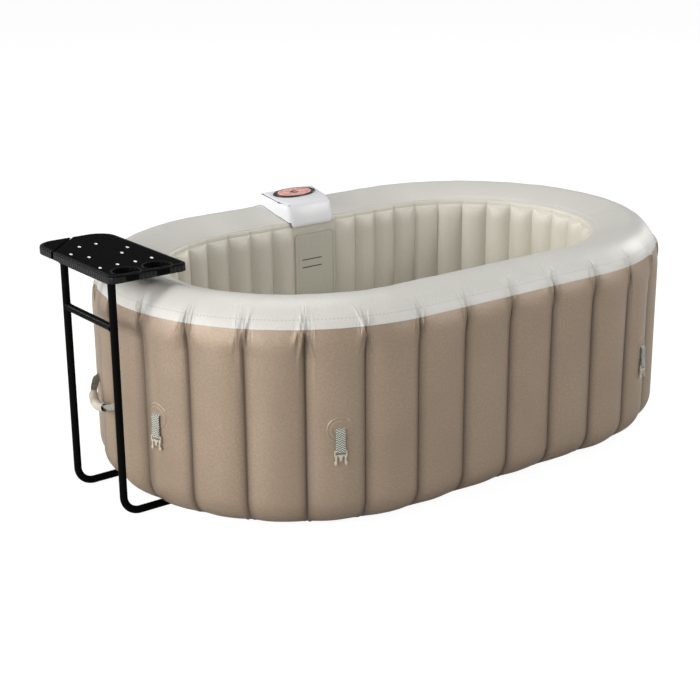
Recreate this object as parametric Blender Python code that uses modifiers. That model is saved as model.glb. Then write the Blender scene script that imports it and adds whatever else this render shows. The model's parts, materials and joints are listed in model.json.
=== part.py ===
"""An inflatable hot tub with its drink tray on a stand, as separate pieces at their real size.

The tub is a stadium in plan: straight long sides and half-round ends. X runs along it, the tray stands at -X,
the control box sits on the +Y rim and Z is up. The origin is on the floor under the tub's middle.
Every piece is its own object, in metres.
"""

import math

import bmesh
import bpy
from mathutils import Matrix, Vector

# Driving sizes of the tub, in metres.
TUB_LENGTH = 1.900
TUB_WIDTH = 1.225
TUB_HEIGHT = 0.652
SKIN = 0.002
GAP = 0.0003
SEAM_GAP = 0.0005
OVERRUN = 0.010
MERGE = 0.00005
SHARP_ANGLE = math.radians(35.0)

# The wall's cross-section. An inset is a distance inwards from the tub's outer side.
FOOT_RADIUS = 0.096
FOOT_FLAT = 0.020
FOOT_STEPS = 2
RIM_OUTER_STEPS = 3
RIM_INNER_STEPS = 2
SHOULDER_REACH = 0.090
SHOULDER_RISE = 0.128
INNER_REACH = 0.1728
INNER_RISE = 0.0958
INNER_POWER = 1.8
SEAM_ANGLE = math.radians(26.0)
SEAM_HALF_FACET = math.radians(7.5)
INNER_SEAM_ANGLE = math.radians(54.0)
INNER_HALF_FACET = math.radians(2.35)

# The channels that the welded seams draw into the walls.
OUTER_CHANNELS = 31
OUTER_DEPTH = 0.012
OUTER_SEAM_OFFSET = -0.030
CREST_SHARE = 0.5
OUTER_FULL_TOP = TUB_HEIGHT - 0.162
INNER_CHANNELS = 45
INNER_DEPTH = 0.016
PILLOW_DROP = 0.040
INNER_FULL_BOTTOM = 0.060
SEGMENTS_PER_CHANNEL = 3
RIM_SEGMENTS_PER_CHANNEL = 3

# The flat level panel on the basin's far wall, and how far its top stays under the rim's seam.
PANEL_X = 0.012
PANEL_PITCHES = 2
PANEL_MARGIN = 0.004
PANEL_THICK = 0.003
PANEL_BOTTOM = 0.060
PANEL_TOP = TUB_HEIGHT - 0.078
PANEL_CORNER = 0.022
LEVEL_HIGH_Z = TUB_HEIGHT - 0.173
LEVEL_LOW_Z = TUB_HEIGHT - 0.1995
LEVEL_MARK_LENGTH = 0.080
LEVEL_MARK_WIDTH = 0.002
LEVEL_MARK_DEPTH = 0.0006
LEVEL_MARK_SHIFT = -0.010

# The pleated web that ties the two walls together inside the air chamber.
WEB_SKIN = 0.0015
WEB_BOTTOM = 0.110
WEB_TOP = TUB_HEIGHT - 0.172
WEB_CLEARANCE = 0.0005

# The bubble ring on the basin floor, and the air pipe that feeds it.
RING_TUBE = 0.016
RING_CLEARANCE = 0.008
RING_POINTS = 40
AIR_PIPE = 0.014

# The control box on the far rim: half widths, and places across the rim and heights from the rim's crest.
BOX_X = -0.002
RIM_CREST_Y = TUB_WIDTH / 2 - SHOULDER_REACH
RIDGE_Y = RIM_CREST_Y - 0.1175
RIDGE_Z = TUB_HEIGHT + 0.012
RIDGE_HALF = 0.084
CHEEK_Y = RIM_CREST_Y - 0.0775
CHEEK_HALF = 0.100
BACK_Y = RIM_CREST_Y + 0.0175
BACK_HALF = 0.107
BOX_TILT = math.radians(13.0)
FRONT_FOOT_Y = RIM_CREST_Y - 0.1375
FRONT_FOOT_Z = TUB_HEIGHT - 0.056
FRONT_FOOT_HALF = 0.086
CREST_HALF = 0.122
REAR_FOOT_Y = RIM_CREST_Y + 0.0695
REAR_FOOT_Z = TUB_HEIGHT - 0.057
REAR_FOOT_HALF = 0.128
BOX_WALL = 0.003
SADDLE_DEEP = TUB_HEIGHT - 0.112
SADDLE_Y = RIM_CREST_Y - 0.042
FRONT_CLEARANCE = 0.005

# The keypad on the box's sloping top, as half sizes of its ovals.
KEYPAD_Y = RIM_CREST_Y - 0.0305
BEZEL_HALF = (0.081, 0.040)
BEZEL_THICK = 0.0040
WELL_HALF = (0.066, 0.0335)
WELL_FLOOR = 0.0010
KEY_GAP = 0.0012
KEY_BEGIN = (0.021, 0.0125)
KEY_THICK = 0.0026
KEY_TRAVEL = 0.0010
WINDOW_HALF = (0.0195, 0.011)
WINDOW_THICK = 0.0036
KEY_COUNT = 6
KEY_STEPS = 5
OVAL_STEPS = 28
BOARD_SIZE = (0.110, 0.052)
BOARD_THICK = 0.0016

# The equipment case set into the far wall, its cover, and what they hold.
CASE_HALF_X = 0.145
CASE_BACK_Y = TUB_WIDTH / 2 - 0.1725
CASE_BOTTOM = 0.120
CASE_TOP = 0.485
CASE_WALL = 0.003
FLANGE_WIDTH = 0.018
FLANGE_THICK = 0.003
COVER_DEPTH = 0.022
COVER_WALL = 0.003
COVER_EDGE = 0.003
LOUVRES = 7
LOUVRE_WIDTH = 2 * CASE_HALF_X - 0.110
LOUVRE_HEIGHT = 0.006
LOUVRE_PITCH = 0.018
LOUVRE_START = 0.330
GLAND_X = 0.050 - CASE_HALF_X
GLAND_Z = 0.150
GLAND_RADIUS = 0.011
GLAND_LENGTH = 0.024
GLAND_BORE = 0.004

PUMP_X = -0.014
PUMP_Z = 0.185
VOLUTE_RADIUS = 0.055
VOLUTE_LENGTH = 0.034
VOLUTE_FRONT_Y = CASE_BACK_Y + 0.038
MOTOR_RADIUS = 0.040
MOTOR_LENGTH = 0.075
CHAMBER_RADIUS = 0.046
CHAMBER_LENGTH = 0.020
SUCTION_BORE = 0.012
OUTLET_X = -0.052
OUTLET_RADIUS = 0.012
OUTLET_TOP_Z = 0.252
SHAFT_RADIUS = 0.0040
SHAFT_CLEARANCE = 0.0001
SHAFT_LENGTH = 0.014
SHAFT_SIDES = 24
IMPELLER_RADIUS = 0.040
IMPELLER_DISC = 0.003
VANE_HEIGHT = 0.008
VANE_THICK = 0.003
VANES = 5

HEATER_RADIUS = 0.023
HEATER_LENGTH = 0.150
HEATER_WALL = 0.002
HOSE_RADIUS = 0.011
HOSE_BORE = 0.008
HOSE_LIFT = 0.022
HOSE_RISE = 0.020

BLOWER_X = CASE_HALF_X - 0.105
BLOWER_Z = 0.350
BLOWER_RADIUS = 0.055
BLOWER_LENGTH = 0.060
BLOWER_BACK_Y = CASE_BACK_Y + 0.073
BLOWER_WALL = 0.004
BEARING_LENGTH = 0.008
INTAKE_RADIUS = 0.030
FAN_RADIUS = 0.044
FAN_LENGTH = 0.030
FAN_HUB = 0.012
FAN_BLADES = 6
FAN_BLADE_THICK = 0.003
FAN_REACH = 0.030
AIR_X = CASE_HALF_X - 0.027
AIR_Y = CASE_BACK_Y + 0.086
AIR_TURN = 0.020

# Water fittings on the level panel. The filter's cartridge pulls straight off its base.
FILTER_X = -0.014
FILTER_Z = 0.160
FILTER_BASE_RADIUS = 0.046
FILTER_BASE_THICK = 0.008
FILTER_TAIL_RADIUS = 0.016
FILTER_NECK_RADIUS = 0.018
FILTER_NECK_LENGTH = 0.012
FILTER_RADIUS = 0.042
FILTER_LENGTH = 0.066
FILTER_BORE = 0.019
FILTER_PLEATS = 24
FILTER_PLEAT_DEPTH = 0.004
CAP_RADIUS = 0.043
CAP_THICK = 0.007
NOZZLE_X = 0.068
NOZZLE_Z = 0.160
NOZZLE_RADIUS = 0.022
NOZZLE_THICK = 0.007
NOZZLE_TAIL_RADIUS = 0.013
NOZZLE_BORE = 0.009
FITTING_SIDES = 16

# Valves on the far wall.
VALVE_CHANNEL = 17
DRAIN_Z = 0.150
AIR_VALVE_Z = 0.440
VALVE_FLANGE_RADIUS = 0.032
VALVE_FLANGE_THICK = 0.003
VALVE_BODY_RADIUS = 0.021
VALVE_BODY_LENGTH = 0.010
VALVE_TAIL_RADIUS = 0.019
VALVE_TAIL_LENGTH = 0.020
VALVE_BORE = 0.014
VALVE_CAP_RADIUS = 0.024
VALVE_CAP_THICK = 0.006
VALVE_CAP_SKIRT = 0.006
VALVE_GRIP = (0.040, 0.008, 0.005)

# The cover's buckle straps: plan angles about the end's centre, from +X.
STRAP_ANGLES = (-165.4, -115.5, 118.4, 71.7, -22.5, -68.4)
STRAP_TOP_Z = 0.311
STRAP_WIDTH = 0.027
STRAP_THICK = 0.002
STRAP_LENGTH = 0.076
STRAP_STAND_OFF = 0.0112
STRAP_HINGE = 0.0013
BUCKLE_WIDTH = 0.036
BUCKLE_THICK = 0.005
BUCKLE_FRAME = 0.018
BUCKLE_SLOT_WIDTH = 0.029
BUCKLE_SLOT_HEIGHT = 0.0085
BUCKLE_SLOT_DROP = 0.004
PRONG_LENGTH = 0.026
PRONG_WIDTH = 0.0045
PRONG_BARB = 0.003
TONGUE_WIDTH = 0.010
TONGUE_LENGTH = 0.013

# The carry handles at the two ends: anchors' plan angles, and the shape of the loop.
HANDLE_ANGLES = {"left": (180.0, 154.0), "right": (0.0, 26.0)}
HANDLE_Z = 0.297
HANDLE_REACH = 0.062
HANDLE_DROOP = math.radians(42.0)
HANDLE_LIFT = 0.0035
HANDLE_TIP_WIDTH = 0.005
HANDLE_STRAP_WIDTH = 0.025
HANDLE_STRAP_WAIST = 0.0216
HANDLE_FULLNESS = 0.7
HANDLE_STRAP_THICK = 0.002
GRIP_RADIUS = 0.0135
GRIP_WALL = 0.0015
GRIP_SPAN_SHARE = 0.50
LOOP_STEPS = 12

# The drink tray.
TRAY_OUTER_X = -TUB_LENGTH / 2 - 0.086
TRAY_INNER_X = -TUB_LENGTH / 2 + 0.150
TRAY_NEAR_Y = -0.128
TRAY_FAR_Y = 0.335
TRAY_TOP = TUB_HEIGHT + 0.053
TRAY_DEPTH = 0.021
TRAY_FIELD = 0.004
TRAY_WALL = 0.003
TRAY_CORNER = 0.020
TRAY_FAR_CORNER = 0.060
CORNER_STEPS = 3
CUP_RADIUS = 0.0385
CUP_DEPTH = 0.0145
CUP_WALL = 0.002
CUP_INSET_Y = 0.032
CUP_INSET_X = (0.064, 0.160)
GROOVE_WIDTH = 0.007
GROOVE_WALL = 0.003
GROOVE_OUTER_Y = 0.212
GROOVE_FAR_X = -TUB_LENGTH / 2 + 0.036
SLOT_SIZE = (0.005, 0.012)
SLOT_SHARES = (
    (0.367, 0.741), (0.597, 0.745), (0.121, 0.609), (0.226, 0.480), (0.097, 0.218),
    (0.633, 0.451), (0.815, 0.549), (0.331, 0.227), (0.556, 0.220), (0.794, 0.235),
)

# The stand under the tray.
TUBE_RADIUS = 0.011
TUBE_WALL = 0.0015
TUBE_SIDES_RESOLUTION = 2
LEG_X = -TUB_LENGTH / 2 - 0.074
NEAR_LEG_Y = -0.105
FAR_LEG_Y = 0.168
BEND_RADIUS = 0.050
BEND_STEPS = 5
RAIL_END_X = -TUB_LENGTH / 2 + 0.112
CROSSBAR_Z = TRAY_TOP - 0.150
BRACKET_THICK = 0.003
BRACKET_EDGE = 0.0185
BRACKET_ARM = 0.016
BRACKET_END_X = -TUB_LENGTH / 2 + 0.136
SCREW_RADIUS = 0.0030
SCREW_HEAD_RADIUS = 0.0050
SCREW_HEAD = 0.0020
SCREW_LENGTH = 0.0130
SCREW_X = -TUB_LENGTH / 2 + 0.120
BOSS_RADIUS = 0.007
TUNNEL_CLEARANCE = 0.0005

# Derived sizes of the tub.
RADIUS = TUB_WIDTH / 2
HALF_STRAIGHT = TUB_LENGTH / 2 - RADIUS
SHOULDER_Z = TUB_HEIGHT - SHOULDER_RISE
INNER_CENTRE_Z = TUB_HEIGHT - INNER_RISE
WALL_TOP_ANGLE = INNER_SEAM_ANGLE + INNER_HALF_FACET
BASIN_INSET = SHOULDER_REACH + INNER_REACH * math.sin(WALL_TOP_ANGLE)**INNER_POWER
BASIN_RADIUS = RADIUS - BASIN_INSET
FLOOR_TOP = 2 * SKIN + GAP
FULL_TURN = 2 * math.pi
CREST_LOSS = OUTER_DEPTH / SEGMENTS_PER_CHANNEL**2
FLANGE_Y = RADIUS - CREST_LOSS + GAP


def clear_scene():
    """Removes whatever the scene holds."""
    for item in list(bpy.data.objects):
        bpy.data.objects.remove(item, do_unlink=True)


def collection(name):
    """The named collection, made under the scene the first time."""
    found = bpy.data.collections.get(name)
    if found is None:
        found = bpy.data.collections.new(name)
        bpy.context.scene.collection.children.link(found)
    return found


def finish(name, colour, roughness, metallic=0.0):
    """A plain Principled material."""
    found = bpy.data.materials.get(name)
    if found is None:
        found = bpy.data.materials.new(name)
        found.use_nodes = True
        shader = found.node_tree.nodes["Principled BSDF"]
        shader.inputs["Base Color"].default_value = (*colour, 1.0)
        shader.inputs["Roughness"].default_value = roughness
        shader.inputs["Metallic"].default_value = metallic
    return found


def tan_skin():
    return finish("tan_skin", (0.39, 0.31, 0.23), 0.42)


def cream_skin():
    return finish("cream_skin", (0.66, 0.64, 0.57), 0.45)


def basin_skin():
    return finish("basin_skin", (0.48, 0.46, 0.38), 0.45)


def white_plastic():
    return finish("white_plastic", (0.75, 0.75, 0.77), 0.35)


def cream_plastic():
    return finish("cream_plastic", (0.62, 0.56, 0.45), 0.40)


def black_plastic():
    return finish("black_plastic", (0.010, 0.010, 0.010), 0.40)


def black_steel():
    return finish("black_steel", (0.008, 0.008, 0.008), 0.30)


def grey_plastic():
    return finish("grey_plastic", (0.20, 0.20, 0.21), 0.50)


def webbing():
    return finish("webbing", (0.40, 0.40, 0.34), 0.85)


def red_key():
    return finish("red_key", (0.70, 0.20, 0.16), 0.40)


def dark_glass():
    return finish("dark_glass", (0.02, 0.01, 0.01), 0.10)


def steel():
    return finish("steel", (0.55, 0.55, 0.56), 0.30, 1.0)


def rubber():
    return finish("rubber", (0.05, 0.05, 0.05), 0.70)


def board_green():
    return finish("board_green", (0.02, 0.15, 0.06), 0.50)


def add_piece(name, mesh, material):
    """Puts a mesh into the hot tub's collection as a named piece."""
    piece = bpy.data.objects.new(name, mesh)
    collection("inflatable_hot_tub").objects.link(piece)
    mesh.materials.clear()
    mesh.materials.append(material)
    mesh.shade_smooth()
    mesh.set_sharp_from_angle(angle=SHARP_ANGLE)
    return piece


def add_tool(name, mesh):
    """A cutter or a guide: not rendered, drawn as a wire."""
    tool = bpy.data.objects.new(name, mesh)
    collection("cutters").objects.link(tool)
    tool.hide_render = True
    tool.display_type = "WIRE"
    return tool


def combine(piece, tool, operation):
    """Adds a Boolean step to a piece or to a tool."""
    step = piece.modifiers.new(operation.lower(), "BOOLEAN")
    step.operation = operation
    step.object = tool
    step.solver = "EXACT"


def cut(piece, mesh):
    """Cuts a mesh out of a piece."""
    combine(piece, add_tool(piece.name + "_cutter", mesh), "DIFFERENCE")


def join(piece, mesh):
    """Joins a mesh that overlaps the piece to it."""
    combine(piece, add_tool(piece.name + "_guide", mesh), "UNION")


def finished_mesh(item):
    """The mesh of an object with its modifiers applied, in the object's own space."""
    bpy.context.view_layer.update()
    graph = bpy.context.evaluated_depsgraph_get()
    return bpy.data.meshes.new_from_object(item.evaluated_get(graph))


def set_origin(piece, point):
    """Moves a piece's origin to a point on its joint's axis and leaves its shape where it is."""
    point = Vector(point)
    piece.data.transform(Matrix.Translation(-point))
    piece.location = point


def mesh_of(shape, name):
    """Turns a bmesh into a mesh."""
    mesh = bpy.data.meshes.new(name)
    shape.to_mesh(mesh)
    shape.free()
    return mesh


def box_mesh(low, high):
    """A box between two corners."""
    low, high = Vector(low), Vector(high)
    shape = bmesh.new()
    bmesh.ops.create_cube(shape, size=1.0)
    for vert in shape.verts:
        for axis in range(3):
            vert.co[axis] = (low[axis] + high[axis]) / 2 + vert.co[axis] * (high[axis] - low[axis])
    return mesh_of(shape, "box")


def facing(axis):
    """The turn that takes +Z to an axis."""
    return Vector((0, 0, 1)).rotation_difference(Vector(axis)).to_matrix().to_4x4()


def drum_mesh(start, axis, length, radius, end_radius=None, sides=FITTING_SIDES):
    """A cylinder or cone from a start point along an axis."""
    shape = bmesh.new()
    bmesh.ops.create_cone(
        shape,
        cap_ends=True,
        segments=sides,
        radius1=radius,
        radius2=radius if end_radius is None else end_radius,
        depth=length,
    )
    middle = Vector(start) + Vector(axis) * length / 2
    bmesh.ops.transform(shape, matrix=Matrix.Translation(middle) @ facing(axis), verts=shape.verts)
    return mesh_of(shape, "drum")


def several(meshes):
    """Several meshes as one, for a tool that cuts in many places."""
    shape = bmesh.new()
    for mesh in meshes:
        shape.from_mesh(mesh)
    return mesh_of(shape, "several")


def hull_mesh(points):
    """The convex solid round some points."""
    shape = bmesh.new()
    for point in points:
        shape.verts.new(point)
    bmesh.ops.convex_hull(shape, input=shape.verts)
    bmesh.ops.recalc_face_normals(shape, faces=shape.faces)
    return mesh_of(shape, "hull")


def plate_mesh(outlines, low, high):
    """Flat outlines, the first with the others as holes, raised from one height to another along Z."""
    curve = bpy.data.curves.new("plate", "CURVE")
    curve.dimensions = "2D"
    curve.fill_mode = "BOTH"
    curve.extrude = (high - low) / 2
    for outline in outlines:
        spline = curve.splines.new("POLY")
        spline.points.add(len(outline) - 1)
        for point, (x, y) in zip(spline.points, outline):
            point.co = (x, y, 0.0, 1.0)
        spline.use_cyclic_u = True
    return curve_mesh(curve, Matrix.Translation((0, 0, (low + high) / 2)))


def tube_mesh(points, radius, cyclic=False):
    """A solid round bar along points."""
    curve = bpy.data.curves.new("tube", "CURVE")
    curve.dimensions = "3D"
    curve.bevel_depth = radius
    curve.bevel_resolution = TUBE_SIDES_RESOLUTION
    curve.use_fill_caps = True
    spline = curve.splines.new("POLY")
    spline.points.add(len(points) - 1)
    for place, point in zip(spline.points, points):
        place.co = (*point, 1.0)
    spline.use_cyclic_u = cyclic
    return curve_mesh(curve, Matrix.Identity(4))


def curve_mesh(curve, place):
    """The closed mesh of a curve, moved to its place, with the curve removed."""
    holder = bpy.data.objects.new("holder", curve)
    bpy.context.scene.collection.objects.link(holder)
    mesh = finished_mesh(holder)
    bpy.data.objects.remove(holder, do_unlink=True)
    shape = bmesh.new()
    shape.from_mesh(mesh)
    bmesh.ops.remove_doubles(shape, verts=shape.verts, dist=MERGE)
    bmesh.ops.transform(shape, matrix=place, verts=shape.verts)
    bmesh.ops.recalc_face_normals(shape, faces=shape.faces)
    return mesh_of(shape, "swept")


def grid_mesh(columns, rows, place, closed):
    """A grid whose corners are put at place(column, row); closed joins its last column to its first."""
    shape = bmesh.new()
    bmesh.ops.create_grid(shape, x_segments=columns, y_segments=rows, size=0.5)
    for vert in shape.verts:
        column = round((vert.co.x + 0.5) * columns)
        row = round((vert.co.y + 0.5) * rows)
        vert.co = place(column, row)
    if closed:
        bmesh.ops.remove_doubles(shape, verts=shape.verts, dist=MERGE)
    return mesh_of(shape, "grid")


def thicken(piece, thickness, offset):
    """Gives a sheet its thickness: offset -1 grows it behind its faces, 0 both ways."""
    step = piece.modifiers.new("thickness", "SOLIDIFY")
    step.thickness = thickness
    step.offset = offset
    step.use_even_offset = True


def perimeter(radius):
    """The length round the stadium whose ends have this radius."""
    return 4 * HALF_STRAIGHT + FULL_TURN * radius


def spine(station, radius):
    """Where a distance round the stadium lies: its normal's foot on the X axis and its normal's plan angle.

    The distance is counted from the middle of the near side, towards +X first.
    """
    station = station % perimeter(radius)
    end = math.pi * radius
    if station <= HALF_STRAIGHT:
        return station, -math.pi / 2
    station -= HALF_STRAIGHT
    if station <= end:
        return HALF_STRAIGHT, station / radius - math.pi / 2
    station -= end
    if station <= 2 * HALF_STRAIGHT:
        return HALF_STRAIGHT - station, math.pi / 2
    station -= 2 * HALF_STRAIGHT
    if station <= end:
        return -HALF_STRAIGHT, station / radius + math.pi / 2
    station -= end
    return station - HALF_STRAIGHT, -math.pi / 2


def plan_point(foot, angle, radius, z):
    """A point at a distance from the X axis along a plan normal."""
    return Vector((foot + radius * math.cos(angle), radius * math.sin(angle), z))


def stadium_outline(radius, stations, station_radius):
    """The stadium's outline through the given stations."""
    points = []
    for station in stations:
        foot, angle = spine(station, station_radius)
        points.append(plan_point(foot, angle, radius, 0.0)[:2])
    return points


def even_stations(count, radius):
    return [perimeter(radius) * index / count for index in range(count)]


def swell(column, segments):
    """How full a channel is at a column: 0 on its seams and nearly 1 between them."""
    across = 2 * (column % segments) / segments - 1
    return 1 - across * across


def shoulder(angle):
    """A point (inset, z) of the rim's outer half, from its side at 0 to its crest at a quarter turn."""
    return SHOULDER_REACH * (1 - math.cos(angle)), SHOULDER_Z + SHOULDER_RISE * math.sin(angle)


def inner_slope(angle):
    """A point (inset, z) of the rim's inner half, from its crest at 0 down towards the basin."""
    inset = SHOULDER_REACH + INNER_REACH * math.sin(angle)**INNER_POWER
    return inset, INNER_CENTRE_Z + INNER_RISE * math.cos(angle)


def between(first, second, distance):
    """The point halfway between two, moved on towards the second by a distance."""
    first, second = Vector(first), Vector(second)
    return (first + second) / 2 + (second - first).normalized() * distance


def outer_seam(distance):
    """The weld of the tan wall and the cream rim, halfway along one facet, moved along it by a distance."""
    low = shoulder(SEAM_ANGLE - SEAM_HALF_FACET)
    high = shoulder(SEAM_ANGLE + SEAM_HALF_FACET)
    return between(low, high, distance)


def inner_seam(distance):
    """The weld of the rim and the basin wall, halfway along one facet."""
    high = inner_slope(INNER_SEAM_ANGLE - INNER_HALF_FACET)
    low = inner_slope(WALL_TOP_ANGLE)
    return between(high, low, distance)


def outer_wall_rows():
    """The outer wall's rows from the base up, as (inset, z, share of the channels' depth)."""
    rows = [(FOOT_RADIUS + FOOT_FLAT, 0.0, 0.0)]
    for step in range(FOOT_STEPS + 1):
        angle = math.pi / 2 * step / FOOT_STEPS
        inset = FOOT_RADIUS * (1 - math.sin(angle))
        z = FOOT_RADIUS * (1 - math.cos(angle))
        rows.append((inset, z, math.sin(angle)))
    rows.append((0.0, OUTER_FULL_TOP, 1.0))
    rows.append((*shoulder(SEAM_ANGLE - SEAM_HALF_FACET), 0.0))
    rows.append((*outer_seam(-SEAM_GAP / 2), 0.0))
    return rows


def rim_rows():
    """The rim's rows from the outer weld over the crest to the inner weld, as (inset, z)."""
    first = SEAM_ANGLE + SEAM_HALF_FACET
    rows = [tuple(outer_seam(SEAM_GAP / 2))]
    for step in range(RIM_OUTER_STEPS + 1):
        rows.append(shoulder(first + (math.pi / 2 - first) * step / RIM_OUTER_STEPS))
    last = INNER_SEAM_ANGLE - INNER_HALF_FACET
    for step in range(1, RIM_INNER_STEPS + 1):
        rows.append(inner_slope(last * step / RIM_INNER_STEPS))
    rows.append(tuple(inner_seam(-SEAM_GAP / 2)))
    return rows


def inner_wall_rows():
    """The basin wall's rows from the rim's weld down, as (inset, z, share of the channels' depth)."""
    top = inner_slope(WALL_TOP_ANGLE)
    return [
        (*inner_seam(SEAM_GAP / 2), 0.0),
        (*top, 0.0),
        (BASIN_INSET, top[1] - PILLOW_DROP, 1.0),
        (BASIN_INSET, INNER_FULL_BOTTOM, 1.0),
        (BASIN_INSET, FLOOR_TOP + GAP, 0.0),
    ]


def outer_station(column, segments):
    return OUTER_SEAM_OFFSET + perimeter(RADIUS) * column / (segments * OUTER_CHANNELS)


def inner_start():
    """The station, at the basin's radius, of the level panel's edge on its -X side."""
    return perimeter(BASIN_RADIUS) / 2 - PANEL_X + inner_pitch() * PANEL_PITCHES / 2


def inner_pitch():
    return perimeter(BASIN_RADIUS) / INNER_CHANNELS


def outer_wall_sheet(extra):
    """The outer wall's surface, drawn in by an extra distance all over."""
    rows = outer_wall_rows()

    def place(column, row):
        inset, z, depth = rows[row]
        foot, angle = spine(outer_station(column, SEGMENTS_PER_CHANNEL), RADIUS)
        sunk = OUTER_DEPTH * depth * (1 - swell(column, SEGMENTS_PER_CHANNEL))
        return plan_point(foot, angle, RADIUS - inset - sunk - extra, z + extra)

    return grid_mesh(OUTER_CHANNELS * SEGMENTS_PER_CHANNEL, len(rows) - 1, place, True)


def tunnel_mesh(y, clearance, end):
    """A block round one of the stand's rails, for the tunnel that it lies in under the wall."""
    half = TUBE_RADIUS + clearance
    return box_mesh(
        (-HALF_STRAIGHT - RADIUS - OVERRUN, y - half, -OVERRUN),
        (RAIL_END_X + end, y + half, 2 * TUBE_RADIUS + clearance),
    )


def rail_tunnels(wall):
    """Draws the wall's foot up over the stand's two rails, as the cloth lies over them."""
    chamber = outer_wall_sheet(SKIN / 2)
    shape = bmesh.new()
    shape.from_mesh(chamber)
    bmesh.ops.holes_fill(shape, edges=shape.edges)
    bmesh.ops.recalc_face_normals(shape, faces=shape.faces)
    chamber_tool = add_tool("chamber_guide", mesh_of(shape, "chamber"))
    outside = TUNNEL_CLEARANCE + SKIN
    liners = [tunnel_mesh(y, outside, outside + TUNNEL_CLEARANCE) for y in (NEAR_LEG_Y, FAR_LEG_Y)]
    liner = add_tool("tunnel_guide", several(liners))
    combine(liner, chamber_tool, "INTERSECT")
    combine(wall, liner, "UNION")
    tunnels = [tunnel_mesh(y, TUNNEL_CLEARANCE, TUNNEL_CLEARANCE) for y in (NEAR_LEG_Y, FAR_LEG_Y)]
    cut(wall, several(tunnels))


def make_outer_wall():
    """The tan outer wall with its drawn-in channels, from the base weld to the rim weld."""
    wall = add_piece("outer_wall", outer_wall_sheet(0.0), tan_skin())
    thicken(wall, SKIN, -1)
    rail_tunnels(wall)
    hole = box_mesh(
        (-CASE_HALF_X - GAP, CASE_BACK_Y, CASE_BOTTOM - GAP),
        (CASE_HALF_X + GAP, RADIUS + OVERRUN, CASE_TOP + GAP),
    )
    tails = [valve_tail(DRAIN_Z, GAP), valve_tail(AIR_VALVE_Z, GAP)]
    cut(wall, several([hole, *tails]))


def make_rim():
    """The smooth cream rim, from the outer weld over the crest to the basin's weld."""
    rows = rim_rows()

    def place(column, row):
        inset, z = rows[row]
        foot, angle = spine(outer_station(column, RIM_SEGMENTS_PER_CHANNEL), RADIUS)
        return plan_point(foot, angle, RADIUS - inset, z)

    mesh = grid_mesh(OUTER_CHANNELS * RIM_SEGMENTS_PER_CHANNEL, len(rows) - 1, place, True)
    thicken(add_piece("rim_top", mesh, cream_skin()), SKIN, -1)


def make_inner_wall():
    """The basin's wall with its channels, flat behind the level panel."""
    rows = inner_wall_rows()
    bulged = (INNER_CHANNELS - PANEL_PITCHES) * SEGMENTS_PER_CHANNEL

    def place(column, row):
        inset, z, depth = rows[row]
        station = inner_start() + inner_pitch() * column / SEGMENTS_PER_CHANNEL
        foot, angle = spine(station, BASIN_RADIUS)
        full = swell(column, SEGMENTS_PER_CHANNEL) if column < bulged else 0.0
        return plan_point(foot, angle, RADIUS - inset - INNER_DEPTH * depth * full, z)

    mesh = grid_mesh(INNER_CHANNELS * SEGMENTS_PER_CHANNEL, len(rows) - 1, place, True)
    wall = add_piece("inner_wall", mesh, basin_skin())
    thicken(wall, SKIN, -1)
    y = BASIN_RADIUS - OVERRUN
    holes = [
        drum_mesh((FILTER_X, y, FILTER_Z), (0, 1, 0), 2 * OVERRUN, FILTER_TAIL_RADIUS + GAP),
        drum_mesh((NOZZLE_X, y, NOZZLE_Z), (0, 1, 0), 2 * OVERRUN, NOZZLE_TAIL_RADIUS + GAP),
        drum_mesh((AIR_X, y - INNER_DEPTH, ring_height()), (0, 1, 0), 3 * OVERRUN, AIR_PIPE / 2 + GAP),
    ]
    cut(wall, several(holes))


def make_floor():
    """The basin's floor sheet, which the basin wall stands on."""
    radius = BASIN_RADIUS + SKIN + SKIN
    outline = stadium_outline(radius, even_stations(2 * OUTER_CHANNELS, RADIUS), RADIUS)
    mesh = plate_mesh([outline], SKIN + GAP, FLOOR_TOP)
    add_piece("floor_sheet", mesh, basin_skin())


def make_base():
    """The flat sheet that lies on the ground, welded to the wall's foot."""
    columns = OUTER_CHANNELS * SEGMENTS_PER_CHANNEL
    stations = [outer_station(index, SEGMENTS_PER_CHANNEL) for index in range(columns)]
    radius = RADIUS - FOOT_RADIUS - FOOT_FLAT - SEAM_GAP
    mesh = plate_mesh([stadium_outline(radius, stations, RADIUS)], 0.0, SKIN)
    add_piece("base_sheet", mesh, basin_skin())


def web_folds():
    """The web's folds in plan: at the outer wall's seams and, between them, at the basin wall's seams."""
    pitch = perimeter(RADIUS) / OUTER_CHANNELS
    half_gap = CASE_HALF_X + 2 * OVERRUN
    far = perimeter(RADIUS) / 2
    first = math.ceil((far + half_gap - OUTER_SEAM_OFFSET) / pitch)
    last = math.floor((far + perimeter(RADIUS) - half_gap - OUTER_SEAM_OFFSET) / pitch)
    inner_radius = BASIN_RADIUS + SKIN + WEB_CLEARANCE
    seams = []
    for index in range(INNER_CHANNELS):
        foot, angle = spine(inner_start() + inner_pitch() * index, BASIN_RADIUS)
        seams.append(plan_point(foot, angle, inner_radius, 0.0))
    folds = []
    for seam in range(first, last + 1):
        foot, angle = spine(OUTER_SEAM_OFFSET + seam * pitch, RADIUS)
        folds.append(plan_point(foot, angle, RADIUS - OUTER_DEPTH - SKIN - WEB_CLEARANCE, 0.0))
        if seam < last:
            foot, angle = spine(OUTER_SEAM_OFFSET + (seam + CREST_SHARE) * pitch, RADIUS)
            target = plan_point(foot, angle, inner_radius, 0.0)
            folds.append(min(seams, key=lambda point: (point - target).length))
    return folds


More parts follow.
